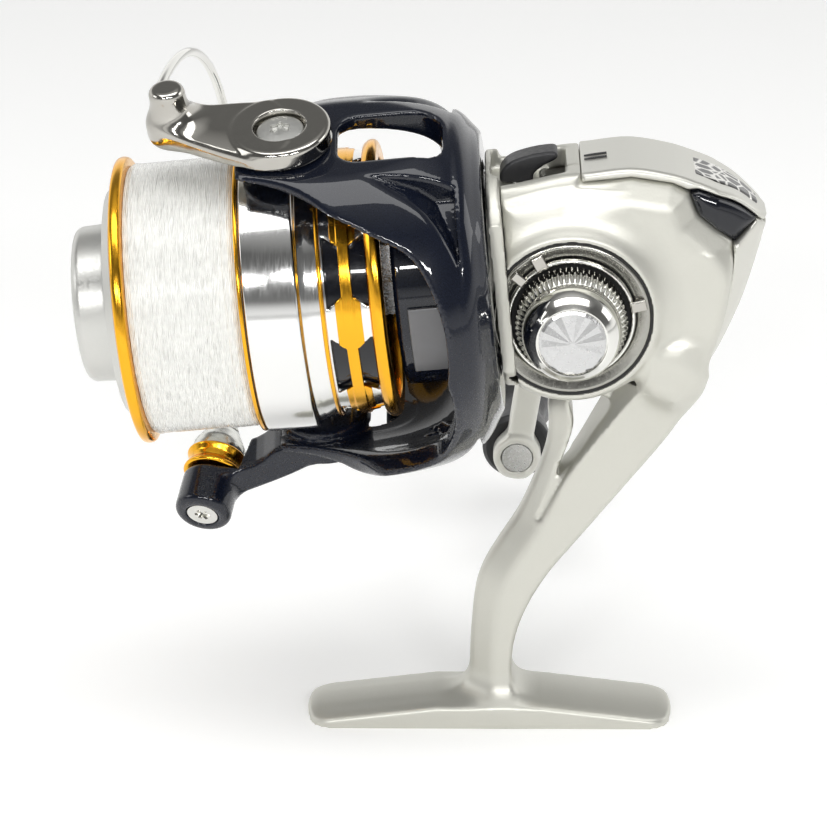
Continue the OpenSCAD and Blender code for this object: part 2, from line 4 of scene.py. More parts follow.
import bmesh
import bpy
import numpy as np
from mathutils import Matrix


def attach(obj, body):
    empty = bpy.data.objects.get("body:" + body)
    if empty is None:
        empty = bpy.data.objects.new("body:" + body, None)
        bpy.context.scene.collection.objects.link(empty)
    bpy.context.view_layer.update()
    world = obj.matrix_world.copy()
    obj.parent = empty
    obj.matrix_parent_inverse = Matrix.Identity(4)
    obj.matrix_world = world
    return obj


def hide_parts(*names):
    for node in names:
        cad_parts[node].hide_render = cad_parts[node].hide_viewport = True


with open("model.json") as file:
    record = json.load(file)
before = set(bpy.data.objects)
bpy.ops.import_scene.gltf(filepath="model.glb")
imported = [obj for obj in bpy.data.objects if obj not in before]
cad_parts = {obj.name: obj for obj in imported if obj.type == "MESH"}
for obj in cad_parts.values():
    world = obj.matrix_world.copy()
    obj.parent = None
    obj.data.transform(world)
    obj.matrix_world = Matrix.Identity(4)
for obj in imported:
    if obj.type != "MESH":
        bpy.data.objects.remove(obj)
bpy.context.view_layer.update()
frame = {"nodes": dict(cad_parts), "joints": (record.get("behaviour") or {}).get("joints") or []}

import openvdb
from mathutils import Matrix, Vector

MM = 0.001

# ---------------------------------------------------------------- places, from the frame's joints
JOINTS = {joint["name"]: joint for joint in frame["joints"]}


def placed(joint, z_axis, x_axis):
    """Local millimetres to the row frame's metres: origin on a joint, with these local Z and X."""
    z = Vector(z_axis).normalized()
    x = Vector(x_axis)
    x = (x - z * x.dot(z)).normalized()
    y = z.cross(x)
    turn = Matrix((x, y, z)).transposed().to_4x4()
    return Matrix.Translation(JOINTS[joint]["pos_m"]) @ turn @ Matrix.Scale(MM, 4)


FORWARD = Vector(JOINTS["rotor_spin"]["axis"])
ARM_WAY = Vector(JOINTS["bail_flip"]["axis"])
ROW = Matrix.Scale(MM, 4)  # the row frame's own axes
AXIS = placed("rotor_spin", FORWARD, (0, 0, 1))  # spool axis: Z forward, X up
ROTOR = placed("rotor_spin", FORWARD, ARM_WAY)  # X towards the bail lever's arm
FACE = placed("handle_crank", (0, -1, 0), (1, 0, 0))  # handle axis, Z out of the cover
HAND = placed("handle_crank", (0, 1, 0), (1, 0, 0))  # handle axis, Z towards the handle
KNOB = placed("handle_knob_spin", (0, 1, 0), (1, 0, 0))
ROLLER = placed("line_roller_spin", JOINTS["line_roller_spin"]["axis"], ARM_WAY)


def local_box(node, place):
    """Lowest and highest corner of a CAD node in a place's own millimetres, and its greatest radius."""
    back = place.inverted()
    at = np.array([back @ v.co for v in frame["nodes"][node].data.vertices])
    return at.min(0), at.max(0), float(np.hypot(at[:, 0], at[:, 1]).max())


# ---------------------------------------------------------------- curves and fields


def curve(points, steps=6, closed=False):
    """Catmull-Rom curve through the points."""
    p = np.array(points, float)
    n = len(p)
    out = []
    for i in range(n if closed else n - 1):
        a, b, c, d = (p[(i + k) % n] if closed else p[min(max(i + k, 0), n - 1)] for k in (-1, 0, 1, 2))
        for t in np.arange(steps) / steps:
            out.append(0.5 * (2 * b + (c - a) * t + (2 * a - 5 * b + 4 * c - d) * t * t
                              + (3 * b - a - 3 * c + d) * t ** 3))
    if not closed:
        out.append(p[-1])
    return [tuple(q) for q in out]


def eased(points, radius, steps=3, closed=True):
    """The outline with its corners rounded off by curves that start radius before each corner."""
    p = np.array(points, float)
    n = len(p)
    out = []
    for i in range(n):
        if (not closed and i in (0, n - 1)) or abs(p[i][0]) < 1e-6:
            out.append(tuple(p[i]))
            continue
        before, after = p[i - 1] - p[i], p[(i + 1) % n] - p[i]
        lb, la = np.linalg.norm(before), np.linalg.norm(after)
        reach = min(radius, 0.45 * lb, 0.45 * la)
        a, b = p[i] + before / lb * reach, p[i] + after / la * reach
        for t in np.arange(steps + 1) / steps:
            out.append(tuple((1 - t) ** 2 * a + 2 * t * (1 - t) * p[i] + t * t * b))
    return out


class Flat:
    """Signed distance to a closed outline, negative inside, looked up on a fine grid."""

    STEP = 0.2

    def __init__(self, points, margin=5.0):
        p = np.array(points, float)
        self.low = p.min(0) - margin
        count = np.ceil((p.max(0) + margin - self.low) / self.STEP).astype(int) + 2
        u = (self.low[0] + self.STEP * np.arange(count[0]))[:, None]
        v = (self.low[1] + self.STEP * np.arange(count[1]))[None, :]
        nearest = np.full((count[0], count[1]), 1e9)
        inside = np.zeros(nearest.shape, bool)
        for (ax, ay), (bx, by) in zip(p, np.roll(p, -1, 0)):
            ex, ey = bx - ax, by - ay
            t = np.clip(((u - ax) * ex + (v - ay) * ey) / max(ex * ex + ey * ey, 1e-12), 0, 1)
            nearest = np.minimum(nearest, (u - ax - t * ex) ** 2 + (v - ay - t * ey) ** 2)
            if ey:
                inside ^= ((ay > v) != (by > v)) & (u < ax + ex * (v - ay) / ey)
        self.grid = np.where(inside, -1.0, 1.0) * np.sqrt(nearest)

    def __call__(self, u, v):
        a = np.clip((u - self.low[0]) / self.STEP, 0, self.grid.shape[0] - 1.001)
        b = np.clip((v - self.low[1]) / self.STEP, 0, self.grid.shape[1] - 1.001)
        i, j = a.astype(int), b.astype(int)
        s, t = a - i, b - j
        g = self.grid
        return ((g[i, j] * (1 - s) + g[i + 1, j] * s) * (1 - t)
                + (g[i, j + 1] * (1 - s) + g[i + 1, j + 1] * s) * t)


def join(a, b, blend=0.0):
    """Union of two fields, with a fillet of about that size."""
    if not blend:
        return np.minimum(a, b)
    h = np.clip(0.5 + 0.5 * (b - a) / blend, 0, 1)
    return b * (1 - h) + a * h - blend * h * (1 - h)


def meet(a, b, blend=0.0):
    return -join(-a, -b, blend)


def cut(a, b, blend=0.0):
    """Field a without field b, with the edge between them rounded."""
    return -join(-a, b, blend)


def slab(flat, across, half, edge):
    """An outline's field made into a slab of that half thickness, with rounded edges."""
    a, b = flat + edge, np.abs(across) - half + edge
    return np.hypot(np.maximum(a, 0), np.maximum(b, 0)) + np.minimum(np.maximum(a, b), 0) - edge


def rod(a, b, radius, along, low, high, edge=0.2):
    """Cylinder of that radius about the axis where a and b are zero, between two heights."""
    return slab(np.hypot(a, b) - radius, along - (low + high) / 2, (high - low) / 2, edge)


def cast(field, low, high, cell):
    """Points and quads of the surface where the field is zero, inside a box of local millimetres."""
    low = np.array(low, float)
    count = np.ceil((np.array(high) - low) / cell).astype(int) + 1
    x, y, z = np.meshgrid(*[low[i] + cell * np.arange(count[i]) for i in range(3)], indexing="ij",
                          sparse=True)
    band = 4 * cell
    value = np.clip(np.broadcast_to(field(x, y, z), count), -band, band).astype(np.float32)
    grid = openvdb.FloatGrid(band)
    grid.copyFromArray(np.ascontiguousarray(value))
    points, quads = grid.convertToQuads()
    return low + points * cell, quads


def turned(profile, steps=144, wave=None):
    """Points and faces of a closed profile of (radius, height), turned about local Z.
    wave(angle, radius, height) may change the radius, as a knurl does."""
    p = np.array(profile, float)
    area = np.sum(p[:, 0] * np.roll(p[:, 1], -1) - np.roll(p[:, 0], -1) * p[:, 1])
    if area < 0:
        p = p[::-1]
    angle = np.linspace(0, 2 * math.pi, steps, endpoint=False)
    radius = np.broadcast_to(p[None, :, 0], (steps, len(p)))
    height = np.broadcast_to(p[None, :, 1], (steps, len(p)))
    if wave:
        radius = wave(angle[:, None], radius, height)
    points = np.stack([radius * np.cos(angle)[:, None], radius * np.sin(angle)[:, None], height], 2)
    n = len(p)
    faces = [(i * n + j, ((i + 1) % steps) * n + j, ((i + 1) % steps) * n + (j + 1) % n, i * n + (j + 1) % n)
             for i in range(steps) for j in range(n)]
    return points.reshape(-1, 3), faces


def swept(path, section):
    """Points and faces of a round bar along a path; section(i) gives its radius at each point."""
    p = np.array(path, float)
    sides = 16
    way = np.gradient(p, axis=0)
    way /= np.linalg.norm(way, axis=1)[:, None]
    side = np.cross(way, (0.02, 0.1, 1.0))
    side /= np.linalg.norm(side, axis=1)[:, None]
    up = np.cross(way, side)
    angle = np.linspace(0, 2 * math.pi, sides, endpoint=False)
    radius = np.array([section(i) for i in range(len(p))])[:, None, None]
    ring = p[:, None] + radius * (np.cos(angle)[None, :, None] * side[:, None]
                                  + np.sin(angle)[None, :, None] * up[:, None])
    faces = [(i * sides + j, i * sides + (j + 1) % sides, (i + 1) * sides + (j + 1) % sides,
              (i + 1) * sides + j)
             for i in range(len(p) - 1) for j in range(sides)]
    faces.append(tuple(range(sides))[::-1])
    faces.append(tuple(range((len(p) - 1) * sides, len(p) * sides)))
    return ring.reshape(-1, 3), faces


def weld(mesh):
    """Merges doubled points, such as those on an axis, and drops faces that have no area."""
    work = bmesh.new()
    work.from_mesh(mesh)
    bmesh.ops.remove_doubles(work, verts=work.verts, dist=2e-6)
    bmesh.ops.dissolve_degenerate(work, edges=work.edges, dist=1e-7)
    bmesh.ops.recalc_face_normals(work, faces=work.faces)
    work.to_mesh(mesh)
    work.free()


def piece(name, shape, place, body, material, replaces=(), angle=38.0):
    """A Blender piece from points and faces in a place's local millimetres, riding on a body.
    Edges sharper than the angle stay sharp in the shading."""
    points, faces = shape
    points = np.asarray(points, float)
    matrix = np.array(place)
    points = points @ matrix[:3, :3].T + matrix[:3, 3]
    mesh = bpy.data.meshes.new(name)
    mesh.from_pydata(points.tolist(), [], [tuple(int(i) for i in f) for f in faces])
    weld(mesh)
    mesh.polygons.foreach_set("use_smooth", [True] * len(mesh.polygons))
    mesh.set_sharp_from_angle(angle=math.radians(angle))
    made = bpy.data.objects.new(name, mesh)
    bpy.context.scene.collection.objects.link(made)
    made.data.materials.append(MATERIALS[material])
    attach(made, body)
    if replaces:
        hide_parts(*replaces)
    return made


# ---------------------------------------------------------------- materials


def add_node(tree, kind, inputs=None, **settings):
    node = tree.nodes.new(kind)
    for key, value in settings.items():
        setattr(node, key, value)
    for key, value in (inputs or {}).items():
        if isinstance(value, bpy.types.NodeSocket):
            tree.links.new(value, node.inputs[key])
        else:
            node.inputs[key].default_value = value
    return node


def blend(tree, amount, first, second):
    """Colour between two others; each may be a colour or a socket."""
    mix = tree.nodes.new("ShaderNodeMix")
    mix.data_type = "RGBA"
    for index, value in ((0, amount), (6, first), (7, second)):
        if isinstance(value, bpy.types.NodeSocket):
            tree.links.new(value, mix.inputs[index])
        else:
            mix.inputs[index].default_value = value
    return mix.outputs[2]


MATERIALS = {}


def finish(name, color, metal, rough, tint=0.08, tint_scale=90.0, rough_vary=0.06, grain=1400.0,
           grain_depth=0.02, coat=0.0, coat_rough=0.04, wear=0.0, wear_color=(0.8, 0.79, 0.76),
           streak=None, specular=0.5, pattern=0.0):
    """A procedural surface: mottled colour, uneven roughness, fine grain, and wear on edges.
    streak stretches the grain along one of the object's axes, as turning or brushing marks.
    pattern draws pale lines between cells of about that many to the metre."""
    material = bpy.data.materials.new(name)
    material.use_nodes = True
    tree = material.node_tree
    shader = tree.nodes["Principled BSDF"]
    shader.inputs["Metallic"].default_value = metal
    shader.inputs["Coat Weight"].default_value = coat
    shader.inputs["Coat Roughness"].default_value = coat_rough
    shader.inputs["Specular IOR Level"].default_value = specular
    shader.inputs["IOR"].default_value = 1.5
    place = add_node(tree, "ShaderNodeTexCoord").outputs["Object"]
    mottle = add_node(tree, "ShaderNodeTexNoise", {"Vector": place, "Scale": tint_scale, "Detail": 4.0})
    low = tuple(c * (1 - tint) for c in color) + (1,)
    high = tuple(min(1, c * (1 + tint)) for c in color) + (1,)
    result = blend(tree, mottle.outputs["Fac"], low, high)
    if pattern:
        cells = add_node(tree, "ShaderNodeTexVoronoi", {"Vector": place, "Scale": pattern},
                         feature="DISTANCE_TO_EDGE")
        lines = add_node(tree, "ShaderNodeMapRange",
                         {"Value": cells.outputs["Distance"], "From Min": 0.04, "From Max": 0.12})
        result = blend(tree, lines.outputs["Result"], (0.75, 0.74, 0.71, 1), result)
    if wear:
        edge = add_node(tree, "ShaderNodeNewGeometry").outputs["Pointiness"]
        rub = add_node(tree, "ShaderNodeMapRange",
                       {"Value": edge, "From Min": 0.52, "From Max": 0.60, "To Min": 0.0, "To Max": wear})
        result = blend(tree, rub.outputs["Result"], result, tuple(wear_color) + (1,))
    tree.links.new(result, shader.inputs["Base Color"])
    where = place
    if streak:
        where = add_node(tree, "ShaderNodeMapping", {"Vector": place, "Scale": streak}).outputs["Vector"]
    fine = add_node(tree, "ShaderNodeTexNoise", {"Vector": where, "Scale": grain, "Detail": 2.0})
    spread = add_node(tree, "ShaderNodeMapRange",
                      {"Value": fine.outputs["Fac"], "From Min": 0.3, "From Max": 0.7,
                       "To Min": max(rough - rough_vary, 0.01), "To Max": rough + rough_vary})
    tree.links.new(spread.outputs["Result"], shader.inputs["Roughness"])
    bump = add_node(tree, "ShaderNodeBump",
                    {"Height": fine.outputs["Fac"], "Strength": grain_depth, "Distance": 0.0004})
    tree.links.new(bump.outputs["Normal"], shader.inputs["Normal"])
    MATERIALS[name] = material


finish("silver_paint", (0.60, 0.595, 0.54), 0.72, 0.42, tint=0.02, grain=2200, grain_depth=0.04,
       rough_vary=0.03, coat=0.12, coat_rough=0.2)
finish("bright_silver", (0.64, 0.635, 0.585), 0.75, 0.36, tint=0.02, tint_scale=60, grain=2600,
       grain_depth=0.006, rough_vary=0.02, coat=0.15, coat_rough=0.18)
finish("dark_gloss", (0.004, 0.005, 0.009), 0.0, 0.2, tint=0.25, coat=0.9, coat_rough=0.02, specular=0.1)
finish("rotor_paint", (0.0045, 0.0065, 0.014), 0.0, 0.3, tint=0.25, tint_scale=300, grain=3000,
       grain_depth=0.008, coat=0.9, coat_rough=0.02, specular=0.08, wear=0.03,
       wear_color=(0.12, 0.14, 0.19))
finish("grey_plate", (0.17, 0.17, 0.175), 0.3, 0.4, grain=900, grain_depth=0.05)
finish("gunmetal", (0.36, 0.355, 0.325), 1.0, 0.22, tint=0.06, grain=1800, grain_depth=0.015)
finish("black_rubber", (0.008, 0.008, 0.008), 0.0, 0.6, tint=0.2, grain=1800, grain_depth=0.1)
finish("dark_chrome", (0.47, 0.455, 0.42), 1.0, 0.12, tint=0.04, grain=700, grain_depth=0.003,
       rough_vary=0.03)
finish("etched_chrome", (0.10, 0.10, 0.10), 1.0, 0.18, tint=0.1, grain=900, grain_depth=0.01, pattern=420.0)
finish("chrome", (0.76, 0.755, 0.72), 1.0, 0.09, tint=0.02, grain=900, grain_depth=0.003, rough_vary=0.03)
finish("cone_metal", (0.72, 0.72, 0.68), 1.0, 0.22, tint=0.03, grain=1800, grain_depth=0.01)
finish("satin_metal", (0.60, 0.60, 0.575), 0.85, 0.36, tint=0.04, grain=2200, grain_depth=0.02)
finish("polished_skirt", (0.80, 0.80, 0.79), 1.0, 0.12, tint=0.02, grain=1500, grain_depth=0.004,
       rough_vary=0.04, streak=(6.0, 0.3, 0.3))
finish("gold", (0.88, 0.44, 0.03), 1.0, 0.18, tint=0.05, grain=1500, grain_depth=0.006,
       streak=(4.0, 0.4, 0.4))
finish("line", (0.82, 0.82, 0.785), 0.0, 0.26, tint=0.14, tint_scale=900, grain=5200, grain_depth=0.9,
       rough_vary=0.1, streak=(1.0, 0.03, 0.03), coat=0.6, coat_rough=0.15)
finish("black_plastic", (0.012, 0.012, 0.014), 0.0, 0.40, tint=0.2, grain=1500, grain_depth=0.05)
finish("steel", (0.60, 0.60, 0.60), 1.0, 0.24, tint=0.05, grain=1800, grain_depth=0.02)
finish("brass", (0.70, 0.60, 0.42), 1.0, 0.30, tint=0.04, grain=1800, grain_depth=0.01)
finish("felt", (0.12, 0.11, 0.10), 0.0, 0.9, tint=0.3, grain=2400, grain_depth=0.4)

# ---------------------------------------------------------------- case and stem
# Outlines are points of x and z. The near side is -Y, and SPLIT is where the cover meets the body.
CRANK = JOINTS["handle_crank"]["pos_m"]
CRANK_X, CRANK_Z = CRANK[0] / MM, CRANK[2] / MM
BOSS_R = local_box("boss_gasket", FACE)[2]
SPLIT = -3.0
CASE_HALF = 10.5
BOSS_FRONT, RECESS_FLOOR = -13.0, -11.6  # y of the boss's face, and of the floor that the ring sits on
FOOT_LONG, FOOT_WIDE, FOOT_END_R = 31.1, 7.0, 18.0  # half length, half width, radius of the ends
CASE_TOP = curve([(-0.6, 97.4), (4.8, 98.5), (10.7, 99.9), (14.3, 100.3)])
UNDER_TRIM = [(14.3, 98.8), (22.3, 99.7), (28.7, 98.7), (31.6, 97.2)]
SEAM = curve([(38.6, 88.9), (38.7, 84.6), (37.9, 77.7), (36.2, 71.6), (33.4, 67.8), (31.4, 64.6)])
UNDER_BOSS_R = 15.3
UNDER_BOSS = [(CRANK_X + UNDER_BOSS_R * math.cos(a), CRANK_Z + UNDER_BOSS_R * math.sin(a))
              for a in np.radians(np.linspace(-46, -141, 14))]
CASE = CASE_TOP + UNDER_TRIM + [(33.0, 93.6)] + SEAM + [(29.8, 62.8)] + UNDER_BOSS
TAIL_TOP = [(28.7, 100.4), (33.0, 99.0), (36.6, 97.5), (40.1, 95.6), (44.5, 91.7)]
TAIL_UNDER = [(43.8, 90.7), (39.7, 94.5), (36.3, 96.4), (32.9, 97.7)]
TRIM = (UNDER_TRIM[:3] + [(31.2, 97.6)])[::-1]
TRIM += curve([(14.3, 100.5), (16.0, 100.7), (22.3, 101.4)] + TAIL_TOP) + curve(TAIL_UNDER)
INSERT = curve(TAIL_UNDER[1:][::-1] + [(42.6, 91.9)])
INSERT += [(40.8, 90.3), (39.0, 88.6), (38.6, 88.9), (33.0, 93.6), (31.6, 97.2)]
TAIL_REAR = [(44.3, 90.4), (42.9, 84.5), (41.0, 77.8), (38.9, 72.3), (36.5, 67.2), (34.2, 64.3)]
REAR = [(38.6, 88.9), (39.0, 88.6), (40.8, 90.3), (42.6, 91.9), (43.8, 90.7), (44.4, 91.4)]
REAR += curve(TAIL_REAR) + SEAM[::-1]
PANEL = curve([(32.6, 99.1), (36.6, 97.6), (40.1, 95.7), (42.9, 93.4)])
PANEL += curve([(42.5, 92.7), (39.8, 95.0), (36.3, 96.9), (32.4, 98.3)])
STEM_FRONT = curve([(10.4, 61.5), (9.6, 58.0), (9.7, 52.6), (8.4, 47.1), (5.1, 38.9), (1.8, 33.3),
                    (-0.8, 28.6), (-2.3, 23.9), (-3.0, 17.2), (-3.3, 11.5), (-3.5, 3.0)])
STEM_REAR = curve([(3.9, 3.0), (3.8, 11.5), (4.7, 17.3), (6.9, 23.0), (10.2, 28.6), (14.3, 33.9),
                   (18.5, 39.3), (23.4, 45.7), (28.2, 52.6), (31.4, 58.1), (34.0, 62.8), (34.5, 66.0)])
STEM = STEM_FRONT + STEM_REAR + [(30.0, 70.0), (12.0, 70.0)]
WINDOW = curve([(13.2, 59.4), (16.2, 60.6), (19.6, 59.6), (16.9, 54.0), (13.7, 48.5), (11.0, 45.6),
                (12.8, 51.2), (13.8, 55.6)], closed=True)
GROOVE = [(11.4, 47.8), (13.6, 48.2), (8.5, 38.0), (7.9, 38.0)]
RIDGE = [(10.6, 42.1), (14.6, 48.8), (19.5, 56.2), (24.3, 63.4), (25.3, 66.3), (26.5, 72.0), (60.0, 72.0),
         (60.0, 42.1)]
CAVITY = [(5.8, 95.5), (13.0, 97.0), (22.0, 97.2), (28.0, 96.2), (30.6, 94.0), (34.0, 90.5), (36.2, 86.5),
          (36.4, 84.0), (35.8, 78.0), (34.1, 72.5), (31.5, 68.5), (28.5, 64.5), (10.0, 63.6), (7.0, 63.9)]

CASE_FLAT = Flat(CASE)
CAVITY_FLAT = Flat(CAVITY)
STEM_FLAT = Flat(STEM)
STEM_SIDE = Flat([(10.4, 95.0)] + STEM_FRONT + [(-3.5, -25.0), (60.0, -25.0), (60.0, 95.0)])
WINDOW_FLAT = Flat(WINDOW)
GROOVE_FLAT = Flat(GROOVE)
RIDGE_FLAT = Flat(RIDGE, 40.0)


def case_field(x, y, z):
    """Case slab with a wide shoulder along its top and rounder edges below."""
    flat = CASE_FLAT(x, z)
    body = slab(flat, y, CASE_HALF, 1.6)
    in_plane, across = 2.5, 4.0
    slope = flat * in_plane + (np.abs(y) - CASE_HALF + in_plane) * across
    fade = np.clip((88.0 - z) / 8.0, 0, 1) * 3.0
    return meet(body, slope / math.hypot(in_plane, across) - fade, 0.8)


def axis_coordinates(x, y, z):
    """Radius from the spool axis and distance forward along it, for row millimetres."""
    origin = np.array(JOINTS["rotor_spin"]["pos_m"]) / MM
    s = (x - origin[0]) * FORWARD[0] + (z - origin[2]) * FORWARD[2]
    up = (x - origin[0]) * FORWARD[2] - (z - origin[2]) * FORWARD[0]
    return np.hypot(up, y), s


def boss_field(x, y, z):
    """Raised boss round the handle axis on the cover side, with a fillet swept over its upper half."""
    u, w = x - CRANK_X, z - CRANK_Z
    r = np.hypot(u, w)
    below = np.clip(y - BOSS_FRONT, 0, 4)
    upper = np.clip(0.5 + 1.1 * (w + 0.45 * u) / np.maximum(r, 1), 0, 1)
    reach = BOSS_R + 0.9 + upper * 0.85 * below ** 1.5 + (1 - upper) * 0.25 * below
    return meet((r - reach) * 0.8, BOSS_FRONT - y, 0.7)


def foot_field(x, y, z):
    """Foot with round ends, thicker beside the stem, and a crowned top with sloped edges."""
    straight = FOOT_LONG - FOOT_END_R
    end = np.hypot(np.abs(x) - straight, y) - FOOT_END_R
    plan = np.where(np.abs(x) > straight, end, np.abs(x) - 40)
    plan = meet(plan, np.abs(y) - FOOT_WIDE, 3.0)
    crest = 1.2 + 2.8 * np.clip((FOOT_LONG - np.abs(x)) / 22.1, 0, 1)
    top = (z - crest - 0.7 * (1 - (y / FOOT_WIDE) ** 2)) * 0.98
    solid = meet(plan, np.maximum(top, -z), 0.0)
    return meet(solid, top + plan * 0.45 + 0.25, 0.7)


def stem_field(x, y, z):
    """Stem with its open window; behind the ridge it thickens upwards until it meets the case."""
    flat = STEM_FLAT(x, z)
    thick = 4.6 + 5.6 * np.clip((z - 43.0) / 23.5, 0, 1.05) ** 1.5
    half = np.maximum(4.6, thick - 1.5 * np.maximum(RIDGE_FLAT(x, z), 0))
    body = slab(flat, y, half, 0.9) * 0.8
    nose = (np.abs(y) * 0.80 + (STEM_SIDE(x, z) + 1.1) * 0.60) - 1.9
    body = meet(body, nose, 0.7)
    body = cut(body, WINDOW_FLAT(x, z), 0.8)
    return cut(body, np.maximum(GROOVE_FLAT(x, z), 3.4 - np.abs(y)), 0.5)


def hollowed(whole, x, y, z):
    """Opens the space that the gears and the slider need inside the case."""
    return cut(whole, slab(CAVITY_FLAT(x, z), y + 0.1, 8.55, 0.4), 0.0)


def lever_pocket(x, y, z):
    return slab(np.maximum(np.abs(x - 6.0) - 5.9, 96.4 - z), y, 6.0, 0.8)


def outer_form(x, y, z):
    """Case, boss and stem as one flowing shape, before it is parted into body and cover.
    Also gives the distance from the spool axis and the distance forward along it."""
    radius, s = axis_coordinates(x, y, z)
    boss = meet(boss_field(x, y, z), y + 8.0)
    boss = cut(boss, np.maximum(15.6 - radius, -0.9 - s), 0.1)
    boss = cut(boss, np.maximum(radius - 11.8, -1.2 - s), 0.1)
    case, stem = case_field(x, y, z), stem_field(x, y, z)
    rear = np.clip((x - 21.0) / 5.0, 0, 1)
    form = join(case, stem, 1.4) * (1 - rear) + join(case, stem, 6.0) * rear
    form = join(form, boss, 1.6)
    recess = rod(x - CRANK_X, z - CRANK_Z, BOSS_R + 0.02, y, -20, RECESS_FLOOR, 0.1)
    form = cut(form, recess, 0.15)
    form = cut(form, rod(x - CRANK_X, z - CRANK_Z, 10.9, y, -20, 4, 0.1))
    return cut(form, lever_pocket(x, y, z), 0.6), radius, s


def body_field(x, y, z):
    """Body, stem and foot as one casting; it laps under the cover's lower edge."""
    form, radius, s = outer_form(x, y, z)
    whole = hollowed(meet(form, join(SPLIT - y, z - 64.0), 0.1), x, y, z)
    whole = join(whole, slab(np.hypot(x - CRANK_X, z - CRANK_Z) - 12.0, y - 11.6, 2.4, 0.8), 2.5)
    whole = join(whole, foot_field(x, y, z), 5.0)
    whole = meet(whole, -z, 0.0)
    flange = slab(radius - 19.2, s + 1.95, 1.05, 0.4)
    flange = cut(flange, boss_field(x, y, z) - 0.1)
    whole = join(whole, flange, 1.0)
    whole = join(whole, slab(radius - 11.6, s - 4.0, 5.0, 0.2), 0.3)
    whole = cut(whole, slab(radius - 10.4, s - 5.0, 5.9, 0.05))
    whole = cut(whole, np.maximum(radius - 5.3, np.abs(s + 5) - 6))
    return cut(whole, lever_pocket(x, y, z), 0.6)


def cover_field(x, y, z):
    """Side cover with its raised boss, on the near side of the split."""
    form, radius, s = outer_form(x, y, z)
    whole = hollowed(meet(form, np.maximum(y - SPLIT, 62.0 - z), 0.1), x, y, z)
    return cut(whole, -(s + 3.1), 0.2)


piece("body_casting", cast(body_field, (-33, -14.5, -1.2), (43, 21, 104), 0.4), ROW, "reel_frame",
      "silver_paint", ["reel_body"])
piece("cover_casting", cast(cover_field, (-4, -14.5, 58), (43, -1.5, 104), 0.32), ROW, "reel_frame",
      "silver_paint", ["side_cover"])


def plate(outline, half, edge, shoulder, gap=0.10, narrow=0.0):
    """A cover set into the case: its outline pulled in by a gap, with a sloping shoulder.
    Behind x = 36 it narrows towards the tail, and it thins towards the tail's rear edge."""
    flat = Flat(outline)

    def field(x, y, z):
        wide = half - narrow * np.clip(x - 36.0, 0, 9)
        wide = np.minimum(wide, 3.2 - 1.3 * TAIL_EDGE(x, z))
        body = slab(flat(x, z) + gap, y, wide, edge)
        in_plane, across = shoulder
        slope = flat(x, z) * in_plane + (np.abs(y) - wide + in_plane) * across
        return meet(body, slope / math.hypot(*shoulder), 0.5)
    return field


BEFORE_TAIL = [(0.0, 60.0), (0.0, 110.0), (46.5, 110.0)]
TAIL_EDGE = Flat(curve([(44.5, 91.7)] + TAIL_REAR + [(31.0, 60.0)]) + BEFORE_TAIL, 12.0)
piece("top_plate", cast(plate(TRIM, 8.7, 0.3, (0.7, 0.8), narrow=0.5), (13, -10, 88), (46, 10, 103), 0.22),
      ROW, "reel_frame", "bright_silver", ["top_trim"])
piece("tail_insert", cast(plate(INSERT, 9.2, 0.4, (0.8, 1.2), 0.02, narrow=0.5), (30, -11, 87),
                          (46, 11, 100), 0.25), ROW, "reel_frame", "dark_gloss", ["rear_insert"])
piece("tail_cover", cast(plate(REAR, 9.6, 0.6, (0.5, 0.6), 0.06, narrow=0.25), (29, -11, 62), (46, 11, 94),
                         0.3), ROW, "reel_frame", "bright_silver", ["rear_cover"])
piece("tail_panel", cast(plate(PANEL, 4.6, 0.2, (0.3, 0.3), 0.0, narrow=0.35), (31, -5, 91), (45, 5, 101),
                         0.16), ROW, "reel_frame", "etched_chrome")
# Two thin black bars on the top plate are painted shade: they stand in for the shadow inside two fine
# grooves, which are not cut.
for number, y in enumerate((0.2, -1.5)):
    groove = [(15.0, y, 100.55), (16.2, y, 100.78), (17.4, y, 100.96), (18.6, y, 101.12)]
    piece("painted_groove_shade_%d" % number, swept(groove, lambda i: 0.17), ROW, "reel_frame", "black_plastic")

# ---------------------------------------------------------------- boss ring, cap and lever
RING = eased([(10.5, 11.6), (BOSS_R - 0.42, 11.6), (BOSS_R - 0.42, 12.8), (12.2, 12.98), (10.8, 12.5),
              (10.5, 12.2)], 0.15)
piece("boss_ring_plate", turned(RING, 360), FACE, "reel_frame", "gunmetal", ["boss_ring"])
piece("boss_inner_ring", turned(eased([(9.5, 11.2), (10.3, 11.2), (10.3, 12.8), (10.05, 13.3), (9.75, 13.3),
                                       (9.5, 12.9)], 0.15), 180), FACE, "reel_frame", "chrome")
piece("boss_seal", turned([(3.0, 11.1), (10.6, 11.1), (10.6, 11.75), (3.0, 11.75)], 90), FACE, "reel_frame",
      "black_rubber")


def tabs_field(x, y, z):
    """Bayonet tabs that stand between the two rings."""
    whole = None
    for centre, long in ((118, 1.25), (140, 1.0), (13, 1.1)):
        a = math.radians(centre)
        u, v = x * math.cos(a) + y * math.sin(a), y * math.cos(a) - x * math.sin(a)
        tab = slab(np.maximum(np.abs(u - 10.9) - 1.3, np.abs(v) - 0.85 * long), z - 12.9, 0.85, 0.3)
        whole = tab if whole is None else join(whole, tab)
    return whole


piece("bayonet_tabs", cast(tabs_field, (-11.5, -1.5, 11.8), (13, 12.5, 14.1), 0.14), FACE, "reel_frame",
      "dark_chrome")


def knurled(angle, radius, height):
    """Fine teeth round the cap's wide band."""
    band = np.clip(np.minimum(height - 13.1, 17.3 - height) / 0.3, 0, 1) * (radius > 7.9)
    return radius - 0.34 * band * (0.5 + 0.5 * np.cos(60 * angle))


